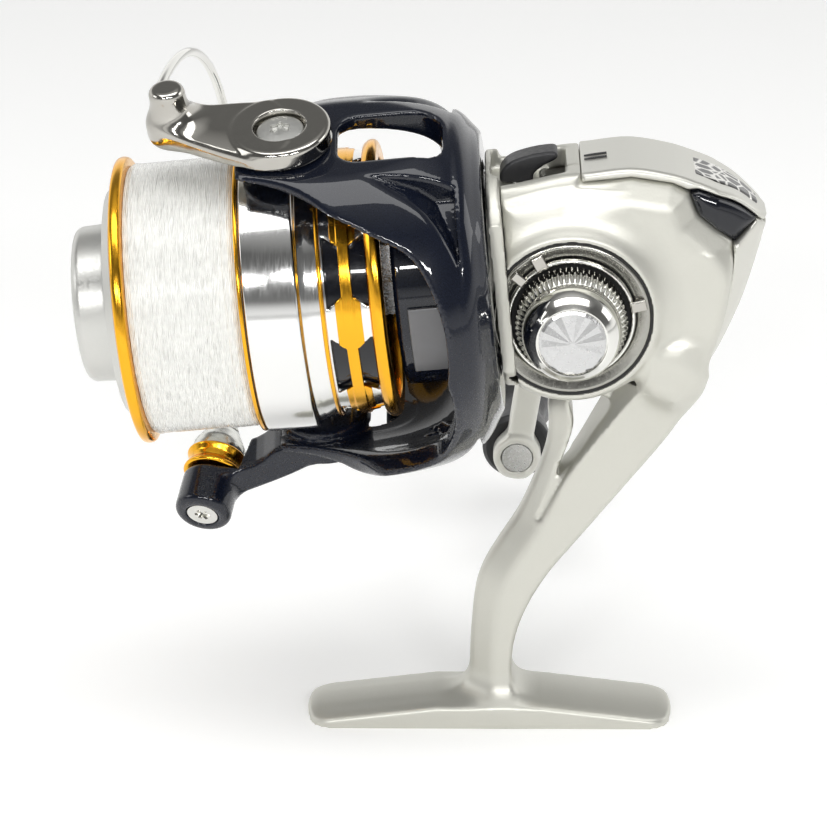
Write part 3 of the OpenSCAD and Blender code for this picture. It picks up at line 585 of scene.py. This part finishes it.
CAP = [(1.9, 12.1), (8.2, 12.1)] + eased([(8.2, 12.1), (8.95, 13.0), (8.95, 14.6), (8.95, 15.6),
                                          (8.5, 16.6), (8.0, 17.3)], 0.2, closed=False)
CAP += curve([(7.9, 17.45), (7.95, 18.2), (7.85, 19.4), (7.4, 20.9), (6.7, 22.0), (5.95, 22.75)], 6)
CAP += [(5.75, 22.95), (5.55, 22.9), (5.5, 22.2), (1.9, 22.2)]
piece("cap_dome", turned(CAP, 720, knurled), FACE, "cap", "chrome", ["screw_cap"])


def faceted_disc():
    """Disc with radial facets that rise to its centre."""
    points, faces = [(0, 0, 23.5)], []
    rings = [(0.4, 23.42), (4.9, 22.9), (5.35, 22.7), (5.35, 22.1)]
    count = 24
    for r, h in rings:
        for i in range(count):
            a = (i + 0.5) * 2 * math.pi / count
            lift = (0.16, -0.1)[i % 2] * (1 < r < 5.2)
            points.append((r * math.cos(a), r * math.sin(a), h + lift))
    for i in range(count):
        j = (i + 1) % count
        faces.append((0, 1 + i, 1 + j))
        for k in range(len(rings) - 1):
            faces.append((1 + k * count + i, 1 + (k + 1) * count + i, 1 + (k + 1) * count + j,
                          1 + k * count + j))
    return points, faces


piece("cap_facets", faceted_disc(), FACE, "cap", "steel", ["cap_disc"], angle=3)

LEVER_FLAT = Flat(curve([(1.7, 97.0), (1.8, 98.8), (3.4, 100.4), (6.6, 101.5), (9.8, 102.0), (10.7, 101.6),
                         (10.5, 100.8), (8.4, 99.6), (7.0, 98.3), (6.6, 96.9), (4.0, 96.8)], closed=True))


def lever_field(x, y, z):
    """Anti-reverse lever: a curved tab that rises to the rear from its pivot."""
    return cut(slab(LEVER_FLAT(x, z), y, 2.4, 0.5), rod(x - 4, y, 0.86, z, 90, 99.0, 0.05))


piece("stopper_tab", cast(lever_field, (0, -4, 95.8), (12, 4, 103), 0.16), ROW, "stopper", "black_plastic",
      ["anti_reverse_lever"])

# ---------------------------------------------------------------- handle
KNOB_AT = JOINTS["handle_knob_spin"]["pos_m"]
ARM_DROP = Vector(((KNOB_AT[0] - CRANK[0]) / MM, (KNOB_AT[2] - CRANK[2]) / MM))
ARM_LEN = ARM_DROP.length
ARM_DIR = ARM_DROP / ARM_LEN
ARM_FLAT = Flat(curve([(-5.0, 30.2), (0.0, 30.0), (5.0, 30.4), (6.6, 35.0), (12.0, 40.2), (24.0, 46.2),
                       (36.0, 48.2), (ARM_LEN, 48.6), (ARM_LEN + 3.6, 48.8), (ARM_LEN + 3.8, 52.0),
                       (ARM_LEN, 52.2), (36.0, 52.0), (23.0, 50.4), (10.0, 44.2), (4.2, 38.0),
                       (-5.0, 37.9)], 4, closed=True))


def arm_field(x, y, z):
    u = (x - CRANK_X) * ARM_DIR[0] + (z - CRANK_Z) * ARM_DIR[1]
    w = (x - CRANK_X) * ARM_DIR[1] - (z - CRANK_Z) * ARM_DIR[0]
    bar = slab(ARM_FLAT(u, y), w, 2.7 - 0.35 * np.clip(u / ARM_LEN, 0, 1), 0.7)
    for side in (-1, 1):
        groove = np.hypot(w - side * 2.75, y - 41.0 - 8.9 * np.clip((u - 5) / 22, 0, 1) ** 0.7) - 0.55
        bar = cut(bar, np.maximum(groove, np.maximum(12 - u, u - 44)), 0.3)
    hub = rod(x - CRANK_X, z - CRANK_Z, 5.2, y, 30, 38, 0.9)
    boss = rod(x - KNOB_AT[0] / MM, z - KNOB_AT[2] / MM, 4.35, y, 48.4, 52.4, 0.7)
    arm = join(join(bar, hub, 2.0), boss, 1.2)
    arm = cut(arm, rod(x - KNOB_AT[0] / MM, z - KNOB_AT[2] / MM, 2.8, y, 40, 49.2, 0.1), 0.3)
    return cut(arm, rod(x - CRANK_X, z - CRANK_Z, 1.8, y, 28, 37, 0.1))


piece("handle_crank_arm", cast(arm_field, (-2, 28, 19), (20, 54, 85), 0.3), ROW, "crank", "bright_silver",
      ["handle_arm"])
piece("handle_sleeve", turned(eased([(1.8, 14.3), (5.6, 14.3), (5.6, 15.6), (5.0, 16.4), (4.4, 24.0),
                                     (4.2, 26.0), (4.5, 27.0), (4.5, 30.0), (1.8, 30.0)], 0.35)), HAND,
      "crank", "bright_silver", ["handle_collar"])


def gripped(angle, radius, height):
    """Shallow finger flutes round the knob's waist."""
    waist = np.clip(1 - np.abs(height - 12.0) / 9.0, 0, 1)
    return radius - 0.28 * waist * (0.5 + 0.5 * np.cos(10 * angle)) * (radius > 4.5)


KNOB_PROFILE = [(3.4, 0.0)] + curve([(5.6, 0.0), (6.2, 0.7), (6.3, 1.5), (6.0, 5.0), (5.4, 11.0),
                                     (6.2, 17.0), (7.4, 22.0), (7.85, 25.5), (7.6, 28.0), (6.6, 29.4)], 6)
KNOB_PROFILE += [(5.3, 29.4), (5.3, 27.4), (3.4, 27.4)]
piece("knob_handle", turned(KNOB_PROFILE, 180, gripped), KNOB, "knob", "black_plastic", ["knob_grip"])
piece("knob_end_cap", turned(eased([(0, 27.4), (5.2, 27.4), (5.2, 29.3), (4.6, 29.6), (3.0, 29.6),
                                    (2.6, 29.3), (0, 29.3)], 0.25)), KNOB, "knob", "chrome", ["knob_cap"])

# ---------------------------------------------------------------- rotor
PIVOT_S = (Vector(JOINTS["bail_flip"]["pos_m"]) - Vector(JOINTS["rotor_spin"]["pos_m"])).dot(FORWARD) / MM
BOWL = ([(16.2, -0.4)]
        + curve([(22.9, -0.4), (24.6, 0.6), (28.2, 3.2), (30.6, 8.0), (31.8, 14.0), (32.2, 20.0),
                 (32.0, 27.0), (30.8, 37.9)])
        + curve([(28.2, 37.9), (28.4, 27.0), (28.4, 20.0), (27.8, 14.0), (26.2, 9.0), (23.4, 5.2),
                 (19.5, 3.4), (16.2, 3.2)]))
BOWL_FLAT = Flat(BOWL)
BOWL_IN_FLAT = Flat([(0.0, 3.6), (19.5, 3.8), (23.4, 5.6), (26.2, 9.4), (29.0, 14.0), (29.0, 37.9),
                     (0.0, 37.9)])
UPPER_FACE, LOWER_FACE = 27.9, 28.5  # where the pads under the bail's two pivots begin, off the axis
PAD_R = 7.6
PIVOT_BORE = 2.06
MOUTH_HALF = curve([(0.0, 7.4), (4.4, 6.9), (9.6, 7.2), (15.3, 8.9), (19.2, 11.4), (21.6, 15.6),
                    (24.3, 22.3), (25.8, 29.0), (26.8, 37.3), (27.0, 44.0)], 4)
MOUTH_FLAT = Flat([(-u, v) for u, v in MOUTH_HALF] + MOUTH_HALF[:0:-1], 12.0)


def rotor_field(x, y, z):
    """Two-armed rotor: a bowl with side mouths, a banded rim round them and hollow arms."""
    across = np.abs(y)
    upper = np.clip((x + 5.0) / 24.0, 0, 1)
    drop = 2.4 * upper * upper * (3 - 2 * upper) * np.clip((z + 2.0) / 6.0, 0, 1)
    radius = np.hypot(x, y) + drop
    mouth = MOUTH_FLAT(x, z)
    bowl = BOWL_FLAT(radius, z)
    # recess between the rim band and the arm's rails, with a thin web at its floor
    flank = np.maximum(np.maximum(5.0 - mouth, 10.3 - across), 3.8 - z)
    bowl = cut(bowl, np.maximum(flank, 26.4 - radius), 0.5)
    web = slab(np.maximum(flank - 1.0, BOWL_IN_FLAT(radius, z)), radius - 26.0, 0.7, 0.1)
    bowl = join(bowl, web, 0.3)
    bowl = cut(bowl, mouth, 1.1)
    bowl = cut(bowl, np.hypot(across - 30, z - (PIVOT_S + 11)) - 22.4, 0.9)
    face = np.where(x > 0, UPPER_FACE - x, LOWER_FACE + x)
    bowl = cut(bowl, np.maximum(np.hypot(y, z - PIVOT_S) - 27.0, face), 0.4)
    hole = np.hypot(np.maximum(across - 2.6, 0), np.maximum(np.abs(z - 13.4) - 4.8, 0)) - 3.4
    bowl = cut(bowl, np.where(x > 0, hole, 9.0), 0.7)
    tray = slab(np.maximum(across - 4.5, np.abs(z - 15.75) - 4.75), x + 35, 6.0, 0.3)
    bowl = cut(bowl, tray, 0.2)
    plain = np.hypot(x, y)
    drum = np.maximum(slab(plain - 17.6, z - 7.3, 7.7, 0.8), 16.2 - plain)
    hub = np.maximum(slab(plain - 17.6, z - 13.25, 1.25, 0.2), 3.6 - plain)
    whole = join(join(bowl, drum, 0.6), hub)
    middle = np.where(x > 0, x - UPPER_FACE + 1.3, -x - 27.2)
    whole = join(whole, slab(np.hypot(y, z - PIVOT_S) - PAD_R, middle, 1.3, 0.3), 0.5)
    whole = cut(whole, np.maximum(np.hypot(y, z - PIVOT_S) - 2.0, 20 - np.abs(x)))
    return cut(whole, np.maximum(25.3 - plain, (PIVOT_S + PAD_R) - z), 0.1)


piece("rotor_casting", cast(rotor_field, (-33.5, -33.5, -1.6), (33.5, 33.5, 39.2), 0.4), ROTOR,
      "rotor_group", "rotor_paint", ["rotor"])


def belly_field(x, y, z):
    """Cover let into the lower arm, with the bowl's own curve outside."""
    tray = slab(np.maximum(np.abs(y) - 4.35, np.abs(z - 15.75) - 4.6), x + 35, 4.7, 0.3)
    return meet(BOWL_FLAT(np.hypot(x, y), z), tray, 0.2)


def drum_plate_field(x, y, z):
    """Blank curved plate that stands on the rotor drum."""
    r, a = np.hypot(x, y), np.degrees(np.arctan2(y, x))
    arc = (np.abs(a + 90) - 20) * math.pi / 180 * 18
    return slab(np.maximum(arc, np.abs(z - 8.5) - 4.5), r - 18.0, 0.45, 0.25)


piece("arm_belly", cast(belly_field, (-34, -6, 9), (-29, 6, 22), 0.2), ROTOR, "rotor_group", "rotor_paint",
      ["arm_cover"])
piece("drum_plate", cast(drum_plate_field, (-9, -20, 2), (9, -14, 15), 0.16), ROTOR, "rotor_group",
      "grey_plate", ["rotor_plate"])

# ---------------------------------------------------------------- bail
LEVER_IN, LEVER_OUT = 28.8, 33.0
UPPER_LEVER = Flat(curve([(-7.9, 33.0), (-5.4, 38.4), (-2.2, 43.6), (0.6, 47.6), (2.2, 49.9), (4.6, 50.9),
                          (7.2, 49.9), (8.1, 46.6), (8.0, 41.0), (7.7, 35.0), (6.9, 31.0), (0.0, 28.0),
                          (-6.0, 29.0)], 4, closed=True))


def top_lever_field(x, y, z):
    """Bail lever: a disc round its screw, a broad bar forward, and a short post curling up at its tip."""
    under, top = 28.3, 31.7
    disc = rod(y, z - PIVOT_S, 8.1, x, 28.1, top, 0.9)
    bar = slab(UPPER_LEVER(y, z), x - (top + under) / 2, (top - under) / 2, 0.8)
    near = (x - top) + 0.30 * (-4.6 - y + 0.42 * (z - PIVOT_S - 3))
    bar = meet(bar, near * 0.85, 0.8)
    lean = 0.10 * (x - top)
    post = rod(y - 4.9 + lean, z - 47.6, 2.9, x, 28.6, 38.0, 1.4)
    whole = join(join(disc, bar, 0.5), post, 4.6)
    whole = meet(whole, x - 38.0, 0.4)
    whole = cut(whole, rod(y, z - PIVOT_S, 4.15, x, 29.9, 50, 0.1), 0.35)
    return cut(whole, rod(y, z - PIVOT_S, PIVOT_BORE, x, 20, 50, 0.1))


piece("bail_lever_arm", cast(top_lever_field, (27.4, -9.5, 21), (39.0, 10.5, 53), 0.2), ROTOR, "bail",
      "dark_chrome", ["bail_lever"])


def wire_path():
    """Bow of the wire, from the upper lever's post round to the cone beside the line roller."""
    turn = np.radians(np.linspace(7, 171, 90))
    front = turn < math.pi / 2
    reach = np.where(front, 36.0, 33.8)
    start = np.where(front, 50.0, 49.1)
    sag = np.where(front, 5.6, 4.7)
    return np.stack([reach * np.cos(turn), 46 * np.sin(turn), start - sag * np.sin(turn)], 1)


piece("bail_wire_bow", swept(wire_path(), lambda i: 0.8), ROTOR, "bail", "chrome", ["bail_wire"])


def star_screw(x, y, z, face):
    """Domed screw head with a six-lobed socket; face is the height of its rim."""
    r, a = np.hypot(y, z), np.arctan2(z, y)
    head_r = 3.75
    dome = 0.35 * np.clip(1 - (r / head_r) ** 2, 0, 1)
    head = slab(r - head_r, x - face + 0.6, 0.6 + dome, 0.25)
    socket = r - 1.45 * (1 + 0.16 * np.cos(6 * a))
    return cut(head, np.maximum(socket, face - 0.5 - x), 0.1)


def screws_field(x, y, z):
    upper = star_screw(x, y, z - PIVOT_S, 30.9)
    lower = star_screw(-x, y, z - PIVOT_S, 32.2)
    shank = np.maximum(np.hypot(y, z - PIVOT_S) - 1.9, 25.5 - np.abs(x))
    return join(np.where(x > 0, upper, lower), np.maximum(shank, np.abs(x) - 31.0 + 0.5 * (x > 0)))


def screw_pair():
    """Both pivot screws, each on the outer side of its lever."""
    shapes = [cast(screws_field, (low, -4.2, PIVOT_S - 4.2), (high, 4.2, PIVOT_S + 4.2), 0.14)
              for low, high in ((25, 32), (-33, -25))]
    points = np.concatenate([shape[0] for shape in shapes])
    return points, list(map(tuple, shapes[0][1])) + [tuple(f + len(shapes[0][0])) for f in shapes[1][1]]


piece("pivot_screws", screw_pair(), ROTOR, "rotor_group", "satin_metal", ["bail_screws"])

TO_ROLLER = np.array(ROLLER.inverted() @ ROTOR)
LOWER_FLAT = Flat(curve([(-28.9, 33.0), (-33.0, 33.0), (-37.0, 42.0), (-39.0, 50.3), (-34.2, 50.3),
                         (-31.8, 42.5), (-28.9, 38.0)], 4, closed=True))


def to_roller(x, y, z):
    """Rotor millimetres to the roller's own."""
    return [row[0] * x + row[1] * y + row[2] * z + row[3] for row in TO_ROLLER[:3]]


def roller_lever_field(x, y, z):
    """Lower bail arm: a disc at the pivot and a bar that swings out to a round head at the roller."""
    disc = rod(y, z - PIVOT_S, 7.0, -x, LEVER_IN, LEVER_OUT, 0.8)
    bar = slab(LOWER_FLAT(x, z), y + 2.5, 4.0, 1.1)
    a, b, c = to_roller(x, y, z)
    head = slab(np.hypot(a, b) - 4.8, c + 6.25, 3.95, 1.2)
    whole = join(join(disc, bar, 1.5), head, 2.0)
    whole = cut(whole, np.maximum(np.hypot(a, b) - 6.2, np.abs(c - 4.85) - 7.15), 0.2)
    whole = cut(whole, np.maximum(np.hypot(a, b) - 2.8, c + 8.6), 0.3)
    whole = cut(whole, np.maximum(np.hypot(a, b) - 1.5, np.abs(c) - 20))
    whole = cut(whole, rod(y, z - PIVOT_S, 4.25, -x, 31.2, 60, 0.1), 0.3)
    return cut(whole, rod(y, z - PIVOT_S, PIVOT_BORE, -x, 0, 60, 0.1))


piece("roller_arm", cast(roller_lever_field, (-45, -16, 21), (-27.8, 9, 58), 0.24), ROTOR, "bail",
      "rotor_paint", ["roller_lever"])
CONE = curve([(0.0, 0.0, 2.0), (0.0, 0.0, 3.6), (-0.1, 0.1, 5.4), (-0.4, 0.3, 7.2), (-0.3, 0.4, 9.2)], 6)
CONE_R = np.interp(np.linspace(0, 1, len(CONE)), [0, 0.12, 0.3, 0.55, 0.8, 1.0],
                   [4.75, 4.75, 4.5, 3.5, 2.2, 1.3])
piece("roller_cone", swept(CONE, lambda i: CONE_R[i]), ROLLER, "bail", "cone_metal", ["wire_cone"])
ROLLER_R = local_box("line_roller", ROLLER)[2]
piece("gold_roller", turned(eased([(3.0, -2.0), (ROLLER_R - 0.3, -2.0), (ROLLER_R, -1.6),
                                   (ROLLER_R - 0.15, -1.2), (4.6, -0.5), (4.5, 0.0), (4.6, 0.6),
                                   (ROLLER_R - 0.15, 1.3), (ROLLER_R, 1.6), (ROLLER_R - 0.3, 2.0),
                                   (3.0, 2.0)], 0.2)), ROLLER, "roller", "gold", ["line_roller"])

# ---------------------------------------------------------------- spool
LIP_BOX, LINE_BOX = local_box("spool_lip", AXIS), local_box("wound_line", AXIS)
LIP_LOW, LIP_HIGH, LIP_R = LIP_BOX[0][2], LIP_BOX[1][2], LIP_BOX[2]
LINE_LOW, LINE_HIGH, LINE_R = LINE_BOX[0][2], LINE_BOX[1][2], LINE_BOX[2]
piece("lip_ring", turned(eased([(19.6, LIP_LOW), (22.2, LIP_LOW), (LIP_R - 0.2, LIP_LOW + 0.25),
                                (LIP_R, (LIP_LOW + LIP_HIGH) / 2), (LIP_R - 0.2, LIP_HIGH - 0.35),
                                (22.4, LIP_HIGH), (19.6, LIP_HIGH)], 0.5, 4), 240), AXIS, "spool", "gold",
      ["spool_lip"])


def wound_profile():
    """Edge of the wound line: many turns side by side, with a slightly uneven lay."""
    turns = 62
    draw = np.random.default_rng(7)
    lay = np.cumsum(draw.normal(0, 0.035, turns))
    lay -= np.linspace(lay[0], lay[-1], turns)
    points = [(17.4, LINE_LOW)]
    for i in range(turns):
        middle = (i + 0.5) / turns
        shoulder = 0.45 * max(0, 1 - min(middle, 1 - middle) / 0.05)
        for k, bulge in ((0.1, -0.075), (0.5, 0.0), (0.9, -0.075)):
            points.append((LINE_R - 0.12 - shoulder + np.clip(lay[i], -0.1, 0.1) + bulge,
                           LINE_LOW + (LINE_HIGH - LINE_LOW) * (i + k) / turns))
    return points + [(17.4, LINE_HIGH)]


piece("line_winding", turned(wound_profile(), 200), AXIS, "spool", "line", ["wound_line"], angle=60)

SKIRT_R = local_box("spool_skirt", AXIS)[2]
REAR_R = 21.3
BAND = [(21.6, 38.2), (SKIRT_R - 0.5, 38.2), (SKIRT_R, 37.9), (SKIRT_R, 29.9), (SKIRT_R - 0.35, 29.5),
        (22.3, 29.3), (21.9, 28.2), (21.5, 26.3), (REAR_R, 26.2), (REAR_R, 25.6), (20.1, 25.6),
        (20.1, 29.0), (21.6, 31.0)]
piece("skirt_band", turned(eased(BAND, 0.18), 288), AXIS, "spool", "polished_skirt", ["spool_skirt"])
WINDOWS = 8
BAR_AT = math.radians(-87.2)  # where one of the bars between them stands
RING_S = 22.0  # middle of the windows, along the spool axis


def bar_offset(u):
    """Distance round the skirt from the nearest bar's middle, for an unrolled length u."""
    pitch = 2 * math.pi / WINDOWS * REAR_R
    return np.abs((u - BAR_AT * REAR_R + pitch / 2) % pitch - pitch / 2)


def wrapped(shape):
    """Unrolled millimetres (round, forward, radius) bent onto the spool axis."""
    points, faces = shape
    angle = points[:, 0] / REAR_R
    radius = points[:, 2]
    return np.stack([radius * np.cos(angle), radius * np.sin(angle), points[:, 1]], 1), faces


HALF_TURN = math.pi * REAR_R


def bar_half(away):
    """Half width of a bar, which flares towards the ring round the middle of the windows."""
    return 2.6 + 1.65 * np.clip((3.1 - away) / 2.0, 0, 1)


def cage_field(u, s, r):
    """Rear of the skirt: a sleeve with two windows between each pair of bars."""
    sleeve = slab(np.maximum(np.abs(s - 22.1) - 3.8, np.abs(u) - HALF_TURN), r - 20.7, 0.6, 0.12)
    away = np.abs(s - RING_S)
    window = np.maximum(bar_half(away) - bar_offset(u), np.maximum(away - 3.3, 0.6 - away))
    return cut(sleeve, window * 0.8, 0.12)


def flare_field(u, s, r):
    """Gold ring round the middle of the skirt, widened where the bars cross it."""
    away = np.abs(s - RING_S)
    flare = np.maximum(bar_offset(u) - bar_half(away), away - 2.05)
    outline = join(away - 0.9, flare, 0.2)
    crest = 0.42 + 0.12 * (away < 0.95)
    return slab(np.maximum(outline, np.abs(u) - HALF_TURN), r - 21.1, crest, 0.12)


UNROLLED_LOW, UNROLLED_HIGH = (-HALF_TURN - 0.6, 17.6, 19.6), (HALF_TURN + 0.6, 26.6, 22.2)
piece("skirt_cage", wrapped(cast(cage_field, UNROLLED_LOW, UNROLLED_HIGH, 0.17)), AXIS, "spool",
      "polished_skirt")
piece("gold_cross_ring", wrapped(cast(flare_field, UNROLLED_LOW, UNROLLED_HIGH, 0.17)), AXIS, "spool",
      "gold", ["skirt_rings"])
for number, (at, radius) in enumerate([(38.65, SKIRT_R - 0.25), (26.0, 21.75)]):
    ring = [(radius - 1.2, at - 0.35), (radius, at - 0.3), (radius + 0.12, at), (radius, at + 0.3),
            (radius - 1.2, at + 0.35)]
    piece("gold_pin_line_%d" % number, turned(eased(ring, 0.1), 240), AXIS, "spool", "gold")
piece("skirt_liner", turned(eased([(18.9, 18.6), (19.9, 18.6), (19.9, 28.0), (18.9, 28.0)], 0.1)), AXIS,
      "spool", "dark_gloss")
piece("gold_rear_flange", turned(eased([(19.6, 16.2), (22.0, 16.2), (22.6, 16.7), (22.6, 17.6),
                                        (22.0, 18.5), (21.3, 18.7), (19.6, 18.7)], 0.3), 240), AXIS,
      "spool", "gold", ["rear_flange"])
DRAG = [(5.0, 57.3), (14.2, 57.3), (14.4, 57.8), (14.4, 59.6), (13.4, 60.3), (12.95, 61.4), (12.8, 63.4),
        (12.7, 65.7), (12.2, 66.5), (11.4, 66.8), (9.4, 66.8), (9.0, 65.9), (2.2, 65.9), (0, 65.9),
        (0, 63.4), (5.0, 63.4)]
piece("drag_dial", turned(eased(DRAG, 0.4, 5), 240), AXIS, "drag", "satin_metal", ["drag_knob"])

# ---------------------------------------------------------------- CAD nodes that stay as they are
KEPT = {
    "black_rubber": ("boss_gasket",),
    "steel": ("body_screws", "drive_bearings", "pinion_bearing", "one_way_clutch", "clutch_retainer",
              "guide_rod", "oscillation_post", "lever_pin", "drive_tube", "handle_shaft", "knob_shaft",
              "knob_screw", "rotor_nut", "bail_spring", "clutch_sleeve", "trip_lever", "roller_bearing",
              "main_shaft", "drag_plates", "drag_retainer"),
    "brass": ("drive_gear", "knob_bushes", "oscillation_gear", "pinion_gear", "spool_support",
              "drag_nut"),
    "chrome": ("roller_axle", "line_clip"),
    "satin_metal": ("oscillation_slider", "spool_core"),
    "felt": ("drag_felts",),
}
for slot, nodes in KEPT.items():
    for node in nodes:
        mesh = frame["nodes"][node].data
        mesh.materials.clear()
        mesh.materials.append(MATERIALS[slot])
        mesh.polygons.foreach_set("use_smooth", [True] * len(mesh.polygons))
        mesh.set_sharp_from_angle(angle=math.radians(30))

# ---------------------------------------------------------------- floor, light and camera


def stage_floor():
    side = 3.0
    mesh = bpy.data.meshes.new("floor")
    mesh.from_pydata([(-side, -side, 0), (side, -side, 0), (side, side, 0), (-side, side, 0)], [],
                     [(0, 1, 2, 3)])
    floor = bpy.data.objects.new("floor", mesh)
    bpy.context.scene.collection.objects.link(floor)
    material = bpy.data.materials.new("floor_paper")
    material.use_nodes = True
    shader = material.node_tree.nodes["Principled BSDF"]
    shader.inputs["Base Color"].default_value = (0.96, 0.96, 0.955, 1)
    shader.inputs["Emission Color"].default_value = (1.0, 1.0, 0.99, 1)
    shader.inputs["Emission Strength"].default_value = 0.16
    shader.inputs["Roughness"].default_value = 0.9
    mesh.materials.append(material)


AIM = (0, 0, 0.06)


def softbox(name, place, size, power):
    """Rectangular area lamp that faces the reel; its size is width and height in metres."""
    light = bpy.data.lights.new(name, "AREA")
    light.shape = "RECTANGLE"
    light.size, light.size_y = size
    light.energy = power
    lamp = bpy.data.objects.new(name, light)
    lamp.location = place
    lamp.rotation_euler = (Vector(AIM) - Vector(place)).to_track_quat("-Z", "Y").to_euler()
    bpy.context.scene.collection.objects.link(lamp)


def level_ramp(tree, height, stops):
    """Grey levels that change with height; each stop is a position and a level."""
    ramp = add_node(tree, "ShaderNodeValToRGB", {"Fac": height})
    elements = ramp.color_ramp.elements
    while len(elements) < len(stops):
        elements.new(0.5)
    for element, (position, level) in zip(elements, stops):
        element.position = position
        element.color = (level, level, level * 0.99, 1)
    return ramp.outputs["Color"]


def studio_world():
    """White paper behind, a dim room in front and above: this gives the polished parts their contrast."""
    world = bpy.data.worlds.new("studio")
    bpy.context.scene.world = world
    world.use_nodes = True
    tree = world.node_tree
    way = add_node(tree, "ShaderNodeTexCoord").outputs["Generated"]
    split = add_node(tree, "ShaderNodeSeparateXYZ", {"Vector": way})
    up = split.outputs["Z"]
    behind = level_ramp(tree, up, [(0.0, 1.1), (0.42, 1.0), (0.58, 0.25), (0.80, 0.20), (0.95, 0.55),
                                   (1.0, 0.6)])
    front = level_ramp(tree, up, [(0.0, 1.0), (0.07, 0.8), (0.16, 0.16), (0.72, 0.12), (0.92, 0.45),
                                  (1.0, 0.6)])
    side = add_node(tree, "ShaderNodeMapRange", {"Value": split.outputs["Y"], "From Min": -0.12,
                                                 "From Max": 0.25})
    tree.links.new(blend(tree, side.outputs["Result"], front, behind),
                   tree.nodes["Background"].inputs["Color"])
    tree.nodes["Background"].inputs["Strength"].default_value = 1.0


CAMERA_AZIMUTH, CAMERA_ELEVATION, CAMERA_ROLL = math.radians(1.43), math.radians(23.68), math.radians(-0.48)
CAMERA_DISTANCE, CAMERA_TARGET = 0.55424, Vector((-0.01262, 0, 0.05556))
CAMERA_LENS, SENSOR = 145.76, 36.0


def photo_camera():
    camera = bpy.data.cameras.new("camera")
    camera.lens, camera.sensor_width = CAMERA_LENS, SENSOR
    camera.clip_start = 0.01
    eye = bpy.data.objects.new("camera", camera)
    back = Vector((math.sin(CAMERA_AZIMUTH) * math.cos(CAMERA_ELEVATION),
                   -math.cos(CAMERA_AZIMUTH) * math.cos(CAMERA_ELEVATION), math.sin(CAMERA_ELEVATION)))
    right = (-back).cross(Vector((0, 0, 1))).normalized()
    up = right.cross(-back)
    c, s = math.cos(CAMERA_ROLL), math.sin(CAMERA_ROLL)
    right, up = right * c + up * s, up * c - right * s
    turn = Matrix((right, up, back)).transposed()
    eye.matrix_world = Matrix.Translation(CAMERA_TARGET + back * CAMERA_DISTANCE) @ turn.to_4x4()
    bpy.context.scene.collection.objects.link(eye)
    bpy.context.scene.camera = eye


stage_floor()
studio_world()
softbox("top_softbox", (0.0, -0.12, 0.80), (0.9, 0.34), 3.0)
for number, across in enumerate((-0.42, 0.0, 0.42)):
    softbox("front_lamp_%d" % number, (across, -1.0, 0.64 - 0.1 * abs(across)), (0.30, 0.055), 2.4)
softbox("left_softbox", (-0.85, -0.15, 0.50), (0.35, 0.35), 0.9)
softbox("right_softbox", (0.9, 0.1, 0.45), (0.35, 0.35), 0.7)
photo_camera()
bpy.context.scene.view_settings.view_transform = "Standard"
